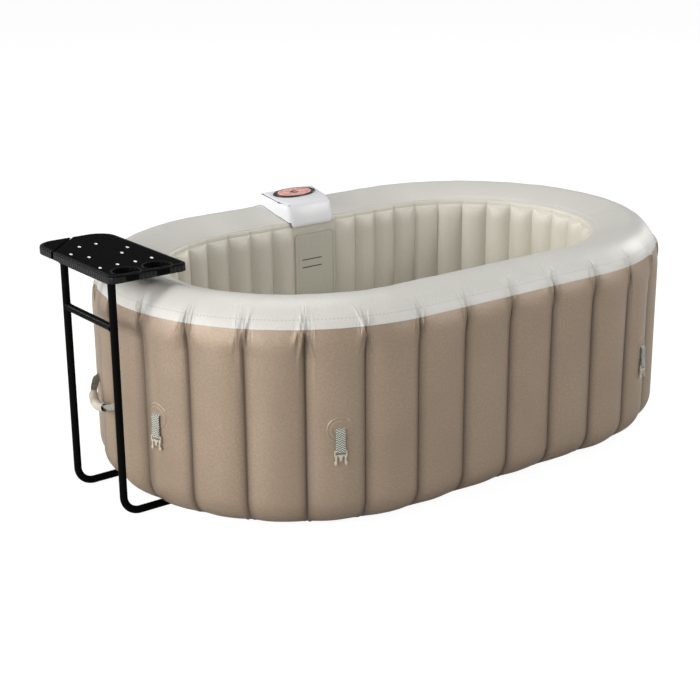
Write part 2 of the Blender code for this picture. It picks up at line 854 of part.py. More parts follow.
def make_web():
    """The pleated web inside the chamber, from one side of the equipment case round to the other."""
    folds = web_folds()
    corners = [folds[0]]
    for before, here, after in zip(folds, folds[1:], folds[2:]):
        first = (before - here).normalized()
        second = (after - here).normalized()
        back = (first + second).normalized()
        corners.append(here + back * WEB_SKIN / 2 / math.sin(first.angle(second) / 2))
    corners.append(folds[-1])

    def place(column, row):
        return Vector((corners[column].x, corners[column].y, WEB_TOP if row else WEB_BOTTOM))

    mesh = grid_mesh(len(corners) - 1, 1, place, False)
    thicken(add_piece("wall_web", mesh, basin_skin()), WEB_SKIN, 0)


def panel_half():
    return inner_pitch() * PANEL_PITCHES / 2 - PANEL_MARGIN


def rounded_outline(low, high, radii, steps):
    """A rectangle's outline with its own radius at each corner, from the low corner on, counterclockwise."""
    corners = [(low[0], low[1]), (high[0], low[1]), (high[0], high[1]), (low[0], high[1])]
    points = []
    for index, (corner, radius) in enumerate(zip(corners, radii)):
        inwards = (1 if corner[0] == low[0] else -1, 1 if corner[1] == low[1] else -1)
        centre = (corner[0] + inwards[0] * radius, corner[1] + inwards[1] * radius)
        for step in range(steps + 1):
            angle = math.pi + math.pi / 2 * (index + step / steps)
            points.append((centre[0] + radius * math.cos(angle), centre[1] + radius * math.sin(angle)))
    return points


def upright(mesh, y):
    """Stands a plate drawn in X and Y up in X and Z, its top face towards -Y at a distance y."""
    mesh.transform(Matrix.Translation((0, y, 0)) @ Matrix.Rotation(math.pi / 2, 4, "X"))
    return mesh


def make_level_panel():
    """The flat panel on the basin's far wall, with its two water lines cut shallow in its face."""
    half = panel_half()
    low = (PANEL_X - half, PANEL_BOTTOM)
    high = (PANEL_X + half, PANEL_TOP)
    outline = rounded_outline(low, high, (PANEL_CORNER,) * 4, CORNER_STEPS)
    mesh = upright(plate_mesh([outline], 0.0, PANEL_THICK), BASIN_RADIUS - GAP)
    panel = add_piece("level_panel", mesh, basin_skin())
    face = BASIN_RADIUS - GAP - PANEL_THICK
    marks = []
    for z in (LEVEL_HIGH_Z, LEVEL_LOW_Z):
        start = PANEL_X + LEVEL_MARK_SHIFT - LEVEL_MARK_LENGTH / 2
        marks.append(
            box_mesh(
                (start, face - OVERRUN, z - LEVEL_MARK_WIDTH / 2),
                (start + LEVEL_MARK_LENGTH, face + LEVEL_MARK_DEPTH, z + LEVEL_MARK_WIDTH / 2),
            )
        )
    y = BASIN_RADIUS - 2 * OVERRUN
    holes = [
        drum_mesh((FILTER_X, y, FILTER_Z), (0, 1, 0), 3 * OVERRUN, FILTER_TAIL_RADIUS + GAP),
        drum_mesh((NOZZLE_X, y, NOZZLE_Z), (0, 1, 0), 3 * OVERRUN, NOZZLE_TAIL_RADIUS + GAP),
    ]
    cut(panel, several(marks + holes))


def ring_height():
    return FLOOR_TOP + GAP + RING_TUBE / 2


def ring_radius():
    return BASIN_RADIUS - RING_CLEARANCE - RING_TUBE / 2


def make_bubble_ring():
    """The perforated air ring that lies on the floor along the basin wall."""
    radius = ring_radius()
    points = []
    for x, y in stadium_outline(radius, even_stations(RING_POINTS, radius), radius):
        points.append((x, y, ring_height()))
    add_piece("bubble_ring", tube_mesh(points, RING_TUBE / 2, cyclic=True), grey_plastic())


def offset_profile(points, distance):
    """A profile of (y, z) points moved outwards along its own normals."""
    moved = []
    for index, point in enumerate(points):
        before = Vector(points[max(index - 1, 0)])
        after = Vector(points[min(index + 1, len(points) - 1)])
        here = Vector(point)
        normals = []
        for start, end in ((before, here), (here, after)):
            if (end - start).length > 0:
                run = (end - start).normalized()
                normals.append(Vector((-run.y, run.x)))
        normal = (normals[0] + normals[-1]).normalized()
        moved.append(here + normal * distance / normal.dot(normals[0]))
    return moved


def saddle_mesh(clearance):
    """The rim's section along the far side, grown by a clearance, as a solid to cut the box with."""
    side = [(RADIUS - inset, z) for inset, z in rim_rows()]
    inset, z = inner_slope(WALL_TOP_ANGLE)
    front = RADIUS - inset - FRONT_CLEARANCE
    side += [(RADIUS - inset, z), (front, z)]
    side += [(front, FRONT_FOOT_Z), (FRONT_FOOT_Y - OVERRUN, FRONT_FOOT_Z)]
    side = offset_profile(side[::-1], clearance)
    outline = [(y, z) for y, z in side]
    outline.append((RADIUS + OVERRUN, outline[-1][1]))
    outline.append((RADIUS + OVERRUN, SADDLE_DEEP))
    outline.append((FRONT_FOOT_Y - OVERRUN, SADDLE_DEEP))
    length = HALF_STRAIGHT
    mesh = plate_mesh([outline], -length / 2, length / 2)
    turn = Matrix(((0, 0, 1, 0), (1, 0, 0, 0), (0, 1, 0, 0), (0, 0, 0, 1)))
    mesh.transform(turn)
    return mesh


def box_top(y):
    """The height of the control box's sloping top."""
    return RIDGE_Z + (y - RIDGE_Y) * math.tan(BOX_TILT)


def box_points(wall):
    """The control box's corners, drawn in by a wall thickness."""
    rows = (
        (FRONT_FOOT_Y + wall, FRONT_FOOT_HALF, FRONT_FOOT_Z - 2 * wall),
        (RIDGE_Y + wall, RIDGE_HALF, box_top(RIDGE_Y) - wall),
        (CHEEK_Y, CHEEK_HALF, box_top(CHEEK_Y) - wall),
        (BACK_Y - wall, BACK_HALF, box_top(BACK_Y) - wall),
        (SADDLE_Y, CREST_HALF, SADDLE_DEEP),
        (REAR_FOOT_Y - wall, REAR_FOOT_HALF, REAR_FOOT_Z - 2 * wall),
    )
    return [(BOX_X + side * (half - wall), y, z) for y, half, z in rows for side in (-1, 1)]


def make_control_housing():
    """The white box astride the far rim, hollow and open below, where it fits the rim."""
    housing = add_piece("control_housing", hull_mesh(box_points(0.0)), white_plastic())
    cut(housing, hull_mesh(box_points(BOX_WALL)))
    cut(housing, saddle_mesh(GAP))


def top_frame(height):
    """The frame on the box's sloping top that the keypad is drawn in, its Z square to the slope."""
    centre = Matrix.Translation((BOX_X, KEYPAD_Y, box_top(KEYPAD_Y)))
    return centre @ Matrix.Rotation(BOX_TILT, 4, "X") @ Matrix.Translation((0, 0, height))


def oval(half, steps=OVAL_STEPS):
    angles = [FULL_TURN * step / steps for step in range(steps)]
    return [(half[0] * math.cos(angle), half[1] * math.sin(angle)) for angle in angles]


def on_top(mesh, height):
    mesh.transform(top_frame(height))
    return mesh


def make_keypad_frame():
    """The black oval bezel with its well, the display window and the circuit board under the box's top."""
    rim = plate_mesh([oval(BEZEL_HALF)], 0.0, BEZEL_THICK)
    bezel = add_piece("panel_bezel", on_top(rim, GAP), black_plastic())
    well = plate_mesh([oval(WELL_HALF)], WELL_FLOOR, BEZEL_THICK + OVERRUN)
    cut(bezel, on_top(well, GAP))
    window = plate_mesh([oval(WINDOW_HALF, OVAL_STEPS // 2)], 0.0, WINDOW_THICK)
    add_piece("display_window", on_top(window, 2 * GAP + WELL_FLOOR), dark_glass())
    x = BOARD_SIZE[0] / 2
    y = BOARD_SIZE[1] / 2
    board = plate_mesh([[(-x, -y), (x, -y), (x, y), (-x, y)]], -BOARD_THICK, 0.0)
    drop = BOX_WALL / math.cos(BOX_TILT) + GAP
    add_piece("control_board", on_top(board, -drop), board_green())


def key_outline(index):
    """One key: a sector between two ovals, with a gap to the next key and to the well's edge."""
    share = (index + 0.5) / KEY_COUNT
    outer = (WELL_HALF[0] - KEY_GAP, WELL_HALF[1] - KEY_GAP)
    begin = (KEY_BEGIN[0] + KEY_GAP, KEY_BEGIN[1] + KEY_GAP)
    points = []
    for half, order in ((outer, 1), (begin, -1)):
        spare = KEY_GAP / 2 / half[1]
        width = FULL_TURN / KEY_COUNT - 2 * spare
        for step in range(KEY_STEPS + 1)[::order]:
            angle = FULL_TURN * share + width * (step / KEY_STEPS - 0.5)
            points.append((half[0] * math.cos(angle), half[1] * math.sin(angle)))
    return points


def make_keys():
    """The six red keys, each on its own short slide square to the box's top."""
    for index in range(KEY_COUNT):
        outline = key_outline(index)
        low = KEY_TRAVEL + GAP
        mesh = on_top(plate_mesh([outline], low, low + KEY_THICK), GAP + WELL_FLOOR)
        key = add_piece(f"key_{index + 1}", mesh, red_key())
        centre = Vector((sum(x for x, _ in outline), sum(y for _, y in outline), 0.0)) / len(outline)
        set_origin(key, top_frame(GAP + WELL_FLOOR + low) @ centre)


def make_case():
    """The equipment case: an open tray let into the far wall, with a flange on the wall's outside."""
    flange_x = CASE_HALF_X + FLANGE_WIDTH
    flange = box_mesh(
        (-flange_x, FLANGE_Y, CASE_BOTTOM - FLANGE_WIDTH),
        (flange_x, FLANGE_Y + FLANGE_THICK, CASE_TOP + FLANGE_WIDTH),
    )
    case = add_piece("equipment_case", flange, grey_plastic())
    body = box_mesh((-CASE_HALF_X, CASE_BACK_Y, CASE_BOTTOM), (CASE_HALF_X, FLANGE_Y + GAP, CASE_TOP))
    join(case, body)
    inside = box_mesh(
        (-CASE_HALF_X + CASE_WALL, CASE_BACK_Y + CASE_WALL, CASE_BOTTOM + CASE_WALL),
        (CASE_HALF_X - CASE_WALL, FLANGE_Y + OVERRUN, CASE_TOP - CASE_WALL),
    )
    cut(case, inside)
    back = CASE_BACK_Y - OVERRUN
    holes = [
        drum_mesh((FILTER_X, back, FILTER_Z), (0, 1, 0), 2 * OVERRUN, FILTER_TAIL_RADIUS + GAP),
        drum_mesh((NOZZLE_X, back, NOZZLE_Z), (0, 1, 0), 2 * OVERRUN, NOZZLE_TAIL_RADIUS + GAP),
        drum_mesh((AIR_X, AIR_Y, CASE_BOTTOM - OVERRUN), (0, 0, 1), 2 * OVERRUN, AIR_PIPE / 2 + GAP),
    ]
    cut(case, several(holes))


def cover_back():
    return FLANGE_Y + FLANGE_THICK + GAP


def make_cover():
    """The louvred service cover over the case, with the power gland in its lower corner."""
    half = CASE_HALF_X + FLANGE_WIDTH - COVER_EDGE
    low = (-half, CASE_BOTTOM - FLANGE_WIDTH + COVER_EDGE)
    high = (half, CASE_TOP + FLANGE_WIDTH - COVER_EDGE)
    radius = FLANGE_WIDTH
    outline = rounded_outline(low, high, (radius,) * 4, CORNER_STEPS)
    mesh = upright(plate_mesh([outline], 0.0, COVER_DEPTH), cover_back() + COVER_DEPTH)
    cover = add_piece("service_cover", mesh, white_plastic())
    inner_low = (low[0] + COVER_WALL, low[1] + COVER_WALL)
    inner_high = (high[0] - COVER_WALL, high[1] - COVER_WALL)
    outline = rounded_outline(inner_low, inner_high, (radius - COVER_WALL,) * 4, CORNER_STEPS)
    hollow = COVER_DEPTH - COVER_WALL + OVERRUN
    tools = [upright(plate_mesh([outline], 0.0, hollow), cover_back() + COVER_DEPTH - COVER_WALL)]
    cut(cover, several(tools))
    slots = []
    for index in range(LOUVRES):
        z = LOUVRE_START + index * LOUVRE_PITCH
        slots.append(
            box_mesh(
                (-LOUVRE_WIDTH / 2, cover_back(), z),
                (LOUVRE_WIDTH / 2, cover_back() + COVER_DEPTH + OVERRUN, z + LOUVRE_HEIGHT),
            )
        )
    neck = GLAND_RADIUS / 2 + GAP
    slots.append(drum_mesh((GLAND_X, cover_back(), GLAND_Z), (0, 1, 0), 2 * COVER_DEPTH, neck))
    cut(cover, several(slots))


def make_gland():
    """The power lead's gland: a collar outside the cover, a neck through it, and a bore."""
    axis = (0, 1, 0)
    neck = GLAND_RADIUS / 2
    start = cover_back() + COVER_DEPTH + GAP
    collar = drum_mesh((GLAND_X, start, GLAND_Z), axis, GLAND_LENGTH, GLAND_RADIUS, neck)
    gland = add_piece("power_gland", collar, rubber())
    join(gland, drum_mesh((GLAND_X, start - OVERRUN, GLAND_Z), axis, 2 * OVERRUN, neck))
    bore_start = start - 2 * OVERRUN
    bore_end = start + GLAND_LENGTH + 2 * OVERRUN
    cut(gland, drum_mesh((GLAND_X, bore_start, GLAND_Z), axis, bore_end - bore_start, GLAND_BORE))


def make_pump():
    """The circulation pump: volute, motor and upright outlet, with a chamber for its impeller."""
    axis = (0, 1, 0)
    motor_start = VOLUTE_FRONT_Y + VOLUTE_LENGTH - OVERRUN / 2
    volute = drum_mesh((PUMP_X, VOLUTE_FRONT_Y, PUMP_Z), axis, VOLUTE_LENGTH, VOLUTE_RADIUS)
    pump = add_piece("pump_body", volute, grey_plastic())
    join(pump, drum_mesh((PUMP_X, motor_start, PUMP_Z), axis, MOTOR_LENGTH, MOTOR_RADIUS))
    middle = VOLUTE_FRONT_Y + VOLUTE_LENGTH / 2
    join(pump, drum_mesh((OUTLET_X, middle, PUMP_Z), (0, 0, 1), OUTLET_TOP_Z - PUMP_Z, OUTLET_RADIUS))
    chamber_start = VOLUTE_FRONT_Y + (VOLUTE_LENGTH - CHAMBER_LENGTH) / 2
    cut(pump, drum_mesh((PUMP_X, chamber_start, PUMP_Z), axis, CHAMBER_LENGTH, CHAMBER_RADIUS))
    inlet = VOLUTE_FRONT_Y - OVERRUN
    cut(pump, drum_mesh((PUMP_X, inlet, PUMP_Z), axis, middle - inlet, SUCTION_BORE))
    shaft_radius = SHAFT_RADIUS + SHAFT_CLEARANCE
    start = chamber_start + CHAMBER_LENGTH / 2
    length = CHAMBER_LENGTH / 2 + SHAFT_LENGTH
    cut(pump, drum_mesh((PUMP_X, start, PUMP_Z), axis, length, shaft_radius, sides=SHAFT_SIDES))


def make_impeller():
    """The pump's impeller: a disc with vanes in front and its shaft behind."""
    axis = (0, 1, 0)
    chamber_start = VOLUTE_FRONT_Y + (VOLUTE_LENGTH - CHAMBER_LENGTH) / 2
    back = chamber_start + CHAMBER_LENGTH - IMPELLER_DISC
    disc = drum_mesh((PUMP_X, back - IMPELLER_DISC, PUMP_Z), axis, IMPELLER_DISC, IMPELLER_RADIUS)
    impeller = add_piece("pump_impeller", disc, black_plastic())
    start = (PUMP_X, back - IMPELLER_DISC / 2, PUMP_Z)
    length = IMPELLER_DISC + SHAFT_LENGTH
    join(impeller, drum_mesh(start, axis, length, SHAFT_RADIUS, sides=SHAFT_SIDES))
    front = back - IMPELLER_DISC
    for index in range(VANES):
        high = (IMPELLER_RADIUS - VANE_THICK, VANE_THICK / 2, VANE_THICK / 2)
        vane = box_mesh((SHAFT_RADIUS, -VANE_HEIGHT, -VANE_THICK / 2), high)
        turn = Matrix.Rotation(FULL_TURN * index / VANES, 4, "Y")
        vane.transform(Matrix.Translation((PUMP_X, front, PUMP_Z)) @ turn)
        join(impeller, vane)
    set_origin(impeller, (PUMP_X, back, PUMP_Z))


def outlet_y():
    return VOLUTE_FRONT_Y + VOLUTE_LENGTH / 2


def make_heater():
    """The upright heater tube on the pump's outlet."""
    low = OUTLET_TOP_Z + GAP
    tube = drum_mesh((OUTLET_X, outlet_y(), low), (0, 0, 1), HEATER_LENGTH, HEATER_RADIUS)
    heater = add_piece("heater_tube", tube, steel())
    start = (OUTLET_X, outlet_y(), low - OVERRUN)
    cut(heater, drum_mesh(start, (0, 0, 1), HEATER_LENGTH + 2 * OVERRUN, HOSE_RADIUS - HEATER_WALL))


def arc_points(centre, first, second, start, end, steps):
    """Points on an arc: centre + first * cos + second * sin, between two angles."""
    centre, first, second = Vector(centre), Vector(first), Vector(second)
    angles = [start + (end - start) * step / steps for step in range(steps + 1)]
    return [centre + first * math.cos(angle) + second * math.sin(angle) for angle in angles]


def hose(name, points, material, radius, bore):
    """A hose along points, with its bore cut right through."""
    points = [Vector(point) for point in points]
    piece = add_piece(name, tube_mesh(points, radius), material)
    start = points[0] + (points[0] - points[1]).normalized() * OVERRUN
    end = points[-1] + (points[-1] - points[-2]).normalized() * OVERRUN
    cut(piece, tube_mesh([start, *points, end], bore))
    return piece


def make_hoses():
    """The short suction sleeve and the return hose over the heater's top."""
    tail = fitting_tail_end()
    sleeve = [(FILTER_X, tail + GAP, FILTER_Z), (FILTER_X, VOLUTE_FRONT_Y - GAP, FILTER_Z)]
    hose("suction_hose", sleeve, rubber(), FILTER_TAIL_RADIUS, HOSE_RADIUS)
    heater_top = OUTLET_TOP_Z + 2 * GAP + HEATER_LENGTH
    half = (NOZZLE_X - OUTLET_X) / 2
    crown = (OUTLET_X + half, outlet_y(), heater_top + HOSE_RISE)
    over = arc_points(crown, (-half, 0, 0), (0, 0, HOSE_LIFT), 0, math.pi, 2 * BEND_STEPS)
    turn = outlet_y() - tail - HOSE_RADIUS
    low = (NOZZLE_X, outlet_y() - turn, NOZZLE_Z + turn)
    down = arc_points(low, (0, turn, 0), (0, 0, -turn), 0, math.pi / 2, BEND_STEPS)
    route = [(OUTLET_X, outlet_y(), heater_top), *over, *down, (NOZZLE_X, tail + GAP, NOZZLE_Z)]
    hose("return_hose", route, rubber(), HOSE_RADIUS, HOSE_BORE)


def make_air_pipe():
    """The pipe from the blower's outlet down through the case to the bubble ring."""
    top = BLOWER_Z - BLOWER_RADIUS / 2
    end_y = ring_radius() + RING_TUBE / 2 + GAP
    z = ring_height()
    centre = (AIR_X, AIR_Y - AIR_TURN, z + AIR_TURN)
    bend = arc_points(centre, (0, AIR_TURN, 0), (0, 0, -AIR_TURN), 0, math.pi / 2, BEND_STEPS)
    route = [(AIR_X, AIR_Y, top), *bend, (AIR_X, end_y, z)]
    hose("air_pipe", route, grey_plastic(), AIR_PIPE / 2, AIR_PIPE / 4)


def fan_room_y():
    """Where the room for the fan begins, in front of the drum's back and the shaft's bearing."""
    return BLOWER_BACK_Y + BLOWER_WALL + BEARING_LENGTH


def make_blower():
    """The air blower's drum, open in front at its intake, with an outlet over the air pipe."""
    axis = (0, 1, 0)
    drum = drum_mesh((BLOWER_X, BLOWER_BACK_Y, BLOWER_Z), axis, BLOWER_LENGTH, BLOWER_RADIUS)
    blower = add_piece("blower_housing", drum, grey_plastic())
    top = BLOWER_Z - BLOWER_RADIUS / 2 + GAP
    outlet = box_mesh(
        (BLOWER_X, AIR_Y - AIR_PIPE / 2, top),
        (AIR_X + AIR_PIPE / 2, AIR_Y + AIR_PIPE / 2, top + AIR_PIPE),
    )
    join(blower, outlet)
    inner = BLOWER_RADIUS - BLOWER_WALL
    start = (BLOWER_X, fan_room_y(), BLOWER_Z)
    depth = BLOWER_BACK_Y + BLOWER_LENGTH - BLOWER_WALL - fan_room_y()
    cut(blower, drum_mesh(start, axis, depth, inner))
    cut(blower, drum_mesh((BLOWER_X, AIR_Y, BLOWER_Z), axis, BLOWER_LENGTH, INTAKE_RADIUS))
    bore = SHAFT_RADIUS + SHAFT_CLEARANCE
    start = (BLOWER_X, BLOWER_BACK_Y + BLOWER_WALL, BLOWER_Z)
    cut(blower, drum_mesh(start, axis, BEARING_LENGTH + BLOWER_WALL, bore, sides=SHAFT_SIDES))


def make_fan():
    """The blower's fan: hub, blades and a shaft in the drum's back."""
    axis = (0, 1, 0)
    back = fan_room_y() + BLOWER_WALL / 2
    hub = drum_mesh((BLOWER_X, back, BLOWER_Z), axis, FAN_LENGTH, FAN_HUB)
    fan = add_piece("blower_fan", hub, black_plastic())
    shaft_start = BLOWER_BACK_Y + BLOWER_WALL + GAP
    length = back - shaft_start + BLOWER_WALL
    join(fan, drum_mesh((BLOWER_X, shaft_start, BLOWER_Z), axis, length, SHAFT_RADIUS, sides=SHAFT_SIDES))
    for index in range(FAN_BLADES):
        low = (FAN_HUB - FAN_BLADE_THICK, 0.0, -FAN_BLADE_THICK / 2)
        blade = box_mesh(low, (FAN_RADIUS, FAN_REACH, FAN_BLADE_THICK / 2))
        turn = Matrix.Rotation(FULL_TURN * index / FAN_BLADES, 4, "Y")
        blade.transform(Matrix.Translation((BLOWER_X, back, BLOWER_Z)) @ turn)
        join(fan, blade)
    set_origin(fan, (BLOWER_X, back, BLOWER_Z))


def panel_face():
    return BASIN_RADIUS - GAP - PANEL_THICK


def fitting_tail_end():
    """How far the water fittings' tails reach into the equipment case."""
    return CASE_BACK_Y + CASE_WALL + OVERRUN


def fitting(name, x, z, radius, thick, tail_radius, bore, neck):
    """A flanged water fitting on the level panel: flange, tail through the wall, and a bore."""
    face = panel_face() - GAP
    axis = (0, 1, 0)
    piece = add_piece(name, drum_mesh((x, face - thick, z), axis, thick, radius), cream_plastic())
    start = face - thick / 2
    join(piece, drum_mesh((x, start, z), axis, fitting_tail_end() - start, tail_radius))
    if neck:
        join(piece, drum_mesh((x, face - thick - neck, z), axis, neck + thick / 2, FILTER_NECK_RADIUS))
    front = face - thick - neck - OVERRUN
    cut(piece, drum_mesh((x, front, z), axis, fitting_tail_end() + OVERRUN - front, bore))
    return piece


def make_fittings():
    """The filter's base and the return nozzle."""
    base_sizes = (FILTER_BASE_RADIUS, FILTER_BASE_THICK, FILTER_TAIL_RADIUS, HOSE_RADIUS)
    fitting("filter_base", FILTER_X, FILTER_Z, *base_sizes, FILTER_NECK_LENGTH)
    nozzle_sizes = (NOZZLE_RADIUS, NOZZLE_THICK, NOZZLE_TAIL_RADIUS, NOZZLE_BORE)
    fitting("return_nozzle", NOZZLE_X, NOZZLE_Z, *nozzle_sizes, 0.0)


def filter_face():
    """Where the filter's cartridge meets its base."""
    return panel_face() - 2 * GAP - FILTER_BASE_THICK


def make_filter():
    """The pleated cartridge on its neck, and the cap that turns on its end."""
    outline = []
    for index in range(2 * FILTER_PLEATS):
        radius = FILTER_RADIUS - (FILTER_PLEAT_DEPTH if index % 2 else 0.0)
        angle = FULL_TURN * index / (2 * FILTER_PLEATS)
        outline.append((radius * math.cos(angle), radius * math.sin(angle)))
    mesh = plate_mesh([outline, oval((FILTER_BORE, FILTER_BORE), FITTING_SIDES)], 0.0, FILTER_LENGTH)
    place = Matrix.Translation((FILTER_X, filter_face(), FILTER_Z))
    mesh.transform(place @ Matrix.Rotation(math.pi / 2, 4, "X"))
    cartridge = add_piece("filter_cartridge", mesh, cream_skin())
    set_origin(cartridge, (FILTER_X, filter_face(), FILTER_Z))
    end = filter_face() - FILTER_LENGTH - GAP
    disc = drum_mesh((FILTER_X, end - CAP_THICK, FILTER_Z), (0, 1, 0), CAP_THICK, CAP_RADIUS)
    cap = add_piece("filter_cap", disc, cream_plastic())
    plug = FILTER_BORE - 2 * GAP
    join(cap, drum_mesh((FILTER_X, end - CAP_THICK / 2, FILTER_Z), (0, 1, 0), 2 * CAP_THICK, plug))
    set_origin(cap, (FILTER_X, end, FILTER_Z))


def valve_x():
    """The middle of the channel, on the far wall's straight part, that carries both valves."""
    column = (VALVE_CHANNEL + CREST_SHARE) * SEGMENTS_PER_CHANNEL
    return perimeter(RADIUS) / 2 - outer_station(column, SEGMENTS_PER_CHANNEL)


def valve_tail(z, clearance):
    """The part of a valve that goes through the outer wall, grown by a clearance."""
    radius = VALVE_TAIL_RADIUS + clearance
    length = VALVE_TAIL_LENGTH + VALVE_FLANGE_THICK + clearance
    return drum_mesh((valve_x(), FLANGE_Y - VALVE_TAIL_LENGTH, z), (0, 1, 0), length, radius)


def make_valve(name, z):
    """A flanged valve body in the outer wall."""
    axis = (0, 1, 0)
    x = valve_x()
    flange = drum_mesh((x, FLANGE_Y, z), axis, VALVE_FLANGE_THICK, VALVE_FLANGE_RADIUS)
    body = add_piece(name, flange, cream_plastic())
    join(body, valve_tail(z, 0.0))
    middle = FLANGE_Y + VALVE_FLANGE_THICK / 2
    join(body, drum_mesh((x, middle, z), axis, VALVE_BODY_LENGTH, VALVE_BODY_RADIUS))
    start = FLANGE_Y - VALVE_TAIL_LENGTH - OVERRUN
    length = middle + VALVE_BODY_LENGTH + OVERRUN - start
    cut(body, drum_mesh((x, start, z), axis, length, VALVE_BORE))


def make_valve_cap(name, z):
    """A valve's cap, with a bar to turn it by and a skirt round the body."""
    axis = (0, 1, 0)
    x = valve_x()
    end = FLANGE_Y + VALVE_FLANGE_THICK / 2 + VALVE_BODY_LENGTH + GAP
    length = VALVE_CAP_SKIRT + VALVE_CAP_THICK
    drum = drum_mesh((x, end - VALVE_CAP_SKIRT, z), axis, length, VALVE_CAP_RADIUS)
    cap = add_piece(name, drum, cream_plastic())
    inner = VALVE_BODY_RADIUS / math.cos(math.pi / FITTING_SIDES) + GAP
    cut(cap, drum_mesh((x, end - VALVE_CAP_SKIRT - OVERRUN, z), axis, VALVE_CAP_SKIRT + OVERRUN, inner))
    width, height, rise = VALVE_GRIP
    top = end + VALVE_CAP_THICK
    low = (x - width / 2, top - GAP, z - height / 2)
    join(cap, box_mesh(low, (x + width / 2, top + rise, z + height / 2)))
    set_origin(cap, (x, end, z))


def make_valves():
    """The drain and the air valve, each with its cap."""
    make_valve("drain_valve_body", DRAIN_Z)
    make_valve_cap("drain_cap", DRAIN_Z)
    make_valve("air_valve_body", AIR_VALVE_Z)
    make_valve_cap("air_valve_cap", AIR_VALVE_Z)


def wall_corner(column):
    """A corner of the outer wall's full-depth outline in plan."""
    foot, angle = spine(outer_station(column, SEGMENTS_PER_CHANNEL), RADIUS)
    sunk = OUTER_DEPTH * (1 - swell(column, SEGMENTS_PER_CHANNEL))
    return plan_point(foot, angle, RADIUS - sunk, 0.0)


def wall_contact(angle_degrees):
    """Where a plan direction from an end's centre meets the outer wall, and that facet's outward normal."""
    angle = math.radians(angle_degrees)
    out = Vector((math.cos(angle), math.sin(angle), 0.0))
    foot = Vector((math.copysign(HALF_STRAIGHT, out.x), 0.0, 0.0))
    for column in range(OUTER_CHANNELS * SEGMENTS_PER_CHANNEL):
        start = wall_corner(column)
        run = wall_corner(column + 1) - start
        across = out.cross(run).z
        if across > 0.0:
            point = foot + out * (start - foot).cross(run).z / across
            share = (point - start).dot(run) / run.length_squared
            if 0.0 <= share <= 1.0 and (point - foot).dot(out) > 0.0:
                return point, Vector((run.y, -run.x, 0.0)).normalized()
    raise ValueError("the direction misses the wall")


def wall_frame(angle_degrees, z, clearance):
    """A frame on an end of the tub: X along the wall, Y outwards, Z up."""
    point, out = wall_contact(angle_degrees)
    point = point + out * clearance
    point.z = z
    along = out.cross(Vector((0.0, 0.0, 1.0)))
    return Matrix.Translation(point) @ Matrix((along, out, (0, 0, 1))).transposed().to_4x4()


def ribbon_mesh(path, width):
    """A flat strap's middle sheet along a path of (y, z) points, centred on X."""

    def place(column, row):
        y, z = path[row]
        return Vector((width * (column - 0.5), y, z))

    return grid_mesh(1, len(path) - 1, place, False)


def strap_path():
    """A cover strap's path down from the line where it bends, standing off the wall."""
    return [
        (0.0, 0.0),
        (STRAP_STAND_OFF, -STRAP_STAND_OFF),
        (STRAP_STAND_OFF, -STRAP_LENGTH),
    ]


def buckle_outline():
    """The plug half of a side-release buckle, seen from the front, hanging down from zero."""
    half = BUCKLE_WIDTH / 2
    root = -BUCKLE_FRAME
    tip = root - PRONG_LENGTH
    barb = tip + 2 * PRONG_WIDTH
    tongue = TONGUE_WIDTH / 2
    right = [
        (half, 0.0),
        (half, root),
        (half - PRONG_BARB, root - PRONG_WIDTH),
        (half - PRONG_BARB, barb + PRONG_WIDTH),
        (half, barb),
        (half - PRONG_BARB, tip),
        (half - PRONG_BARB - PRONG_WIDTH, tip + PRONG_WIDTH),
        (half - PRONG_BARB - PRONG_WIDTH, root),
        (tongue, root),
        (tongue / 2, root - TONGUE_LENGTH),
    ]
    left = [(-x, y) for x, y in reversed(right)]
    return right + left


def buckle_slot():
    half = BUCKLE_SLOT_WIDTH / 2
    top = -BUCKLE_SLOT_DROP
    bottom = top - BUCKLE_SLOT_HEIGHT
    return [(-half, top), (half, top), (half, bottom), (-half, bottom)]


def make_straps():
    """The six cover straps, each bending at its weld on the wall, with the buckle that hangs from it."""
    for index, angle in enumerate(STRAP_ANGLES, start=1):
        place = wall_frame(angle, STRAP_TOP_Z, STRAP_HINGE)
        strap = add_piece(f"cover_strap_{index}", ribbon_mesh(strap_path(), STRAP_WIDTH), webbing())
        thicken(strap, STRAP_THICK, 0)
        strap.matrix_world = place
        mesh = plate_mesh([buckle_outline(), buckle_slot()], 0.0, BUCKLE_THICK)
        drop = STRAP_LENGTH + GAP
        out = STRAP_STAND_OFF - BUCKLE_THICK / 2
        turn = Matrix.Rotation(-math.pi / 2, 4, "X") @ Matrix.Scale(-1, 4, (0, 1, 0))
        mesh.transform(Matrix.Translation((0, out, -drop)) @ turn)
        mesh.flip_normals()
        buckle = add_piece(f"cover_buckle_{index}", mesh, cream_plastic())
        buckle.matrix_world = place


def handle_frame(angles):
    """A carry handle's frame and its chord's length: origin between the anchors, Y outwards, Z up."""
    ends = []
    for angle in angles:
        point, out = wall_contact(angle)
        ends.append(point + out * GAP)
    middle = (ends[0] + ends[1]) / 2
    middle.z = HANDLE_Z
    chord = ends[1] - ends[0]
    along = chord.normalized()
    out = Vector((0.0, 0.0, 1.0)).cross(along)
    if out.x * middle.x < 0.0:
        along = -along
        out = -out
    turn = Matrix((along, out, (0, 0, 1))).transposed().to_4x4()
    return Matrix.Translation(middle) @ turn, chord.length


def loop_point(share, chord, reach):
    """A point of the drooping loop: along the chord from end to end, and out by a sine of the share."""
    out = HANDLE_LIFT + reach * math.sin(math.pi * share) ** HANDLE_FULLNESS
    along = chord * (share - 0.5)
    return Vector((along, out * math.cos(HANDLE_DROOP), -out * math.sin(HANDLE_DROOP)))


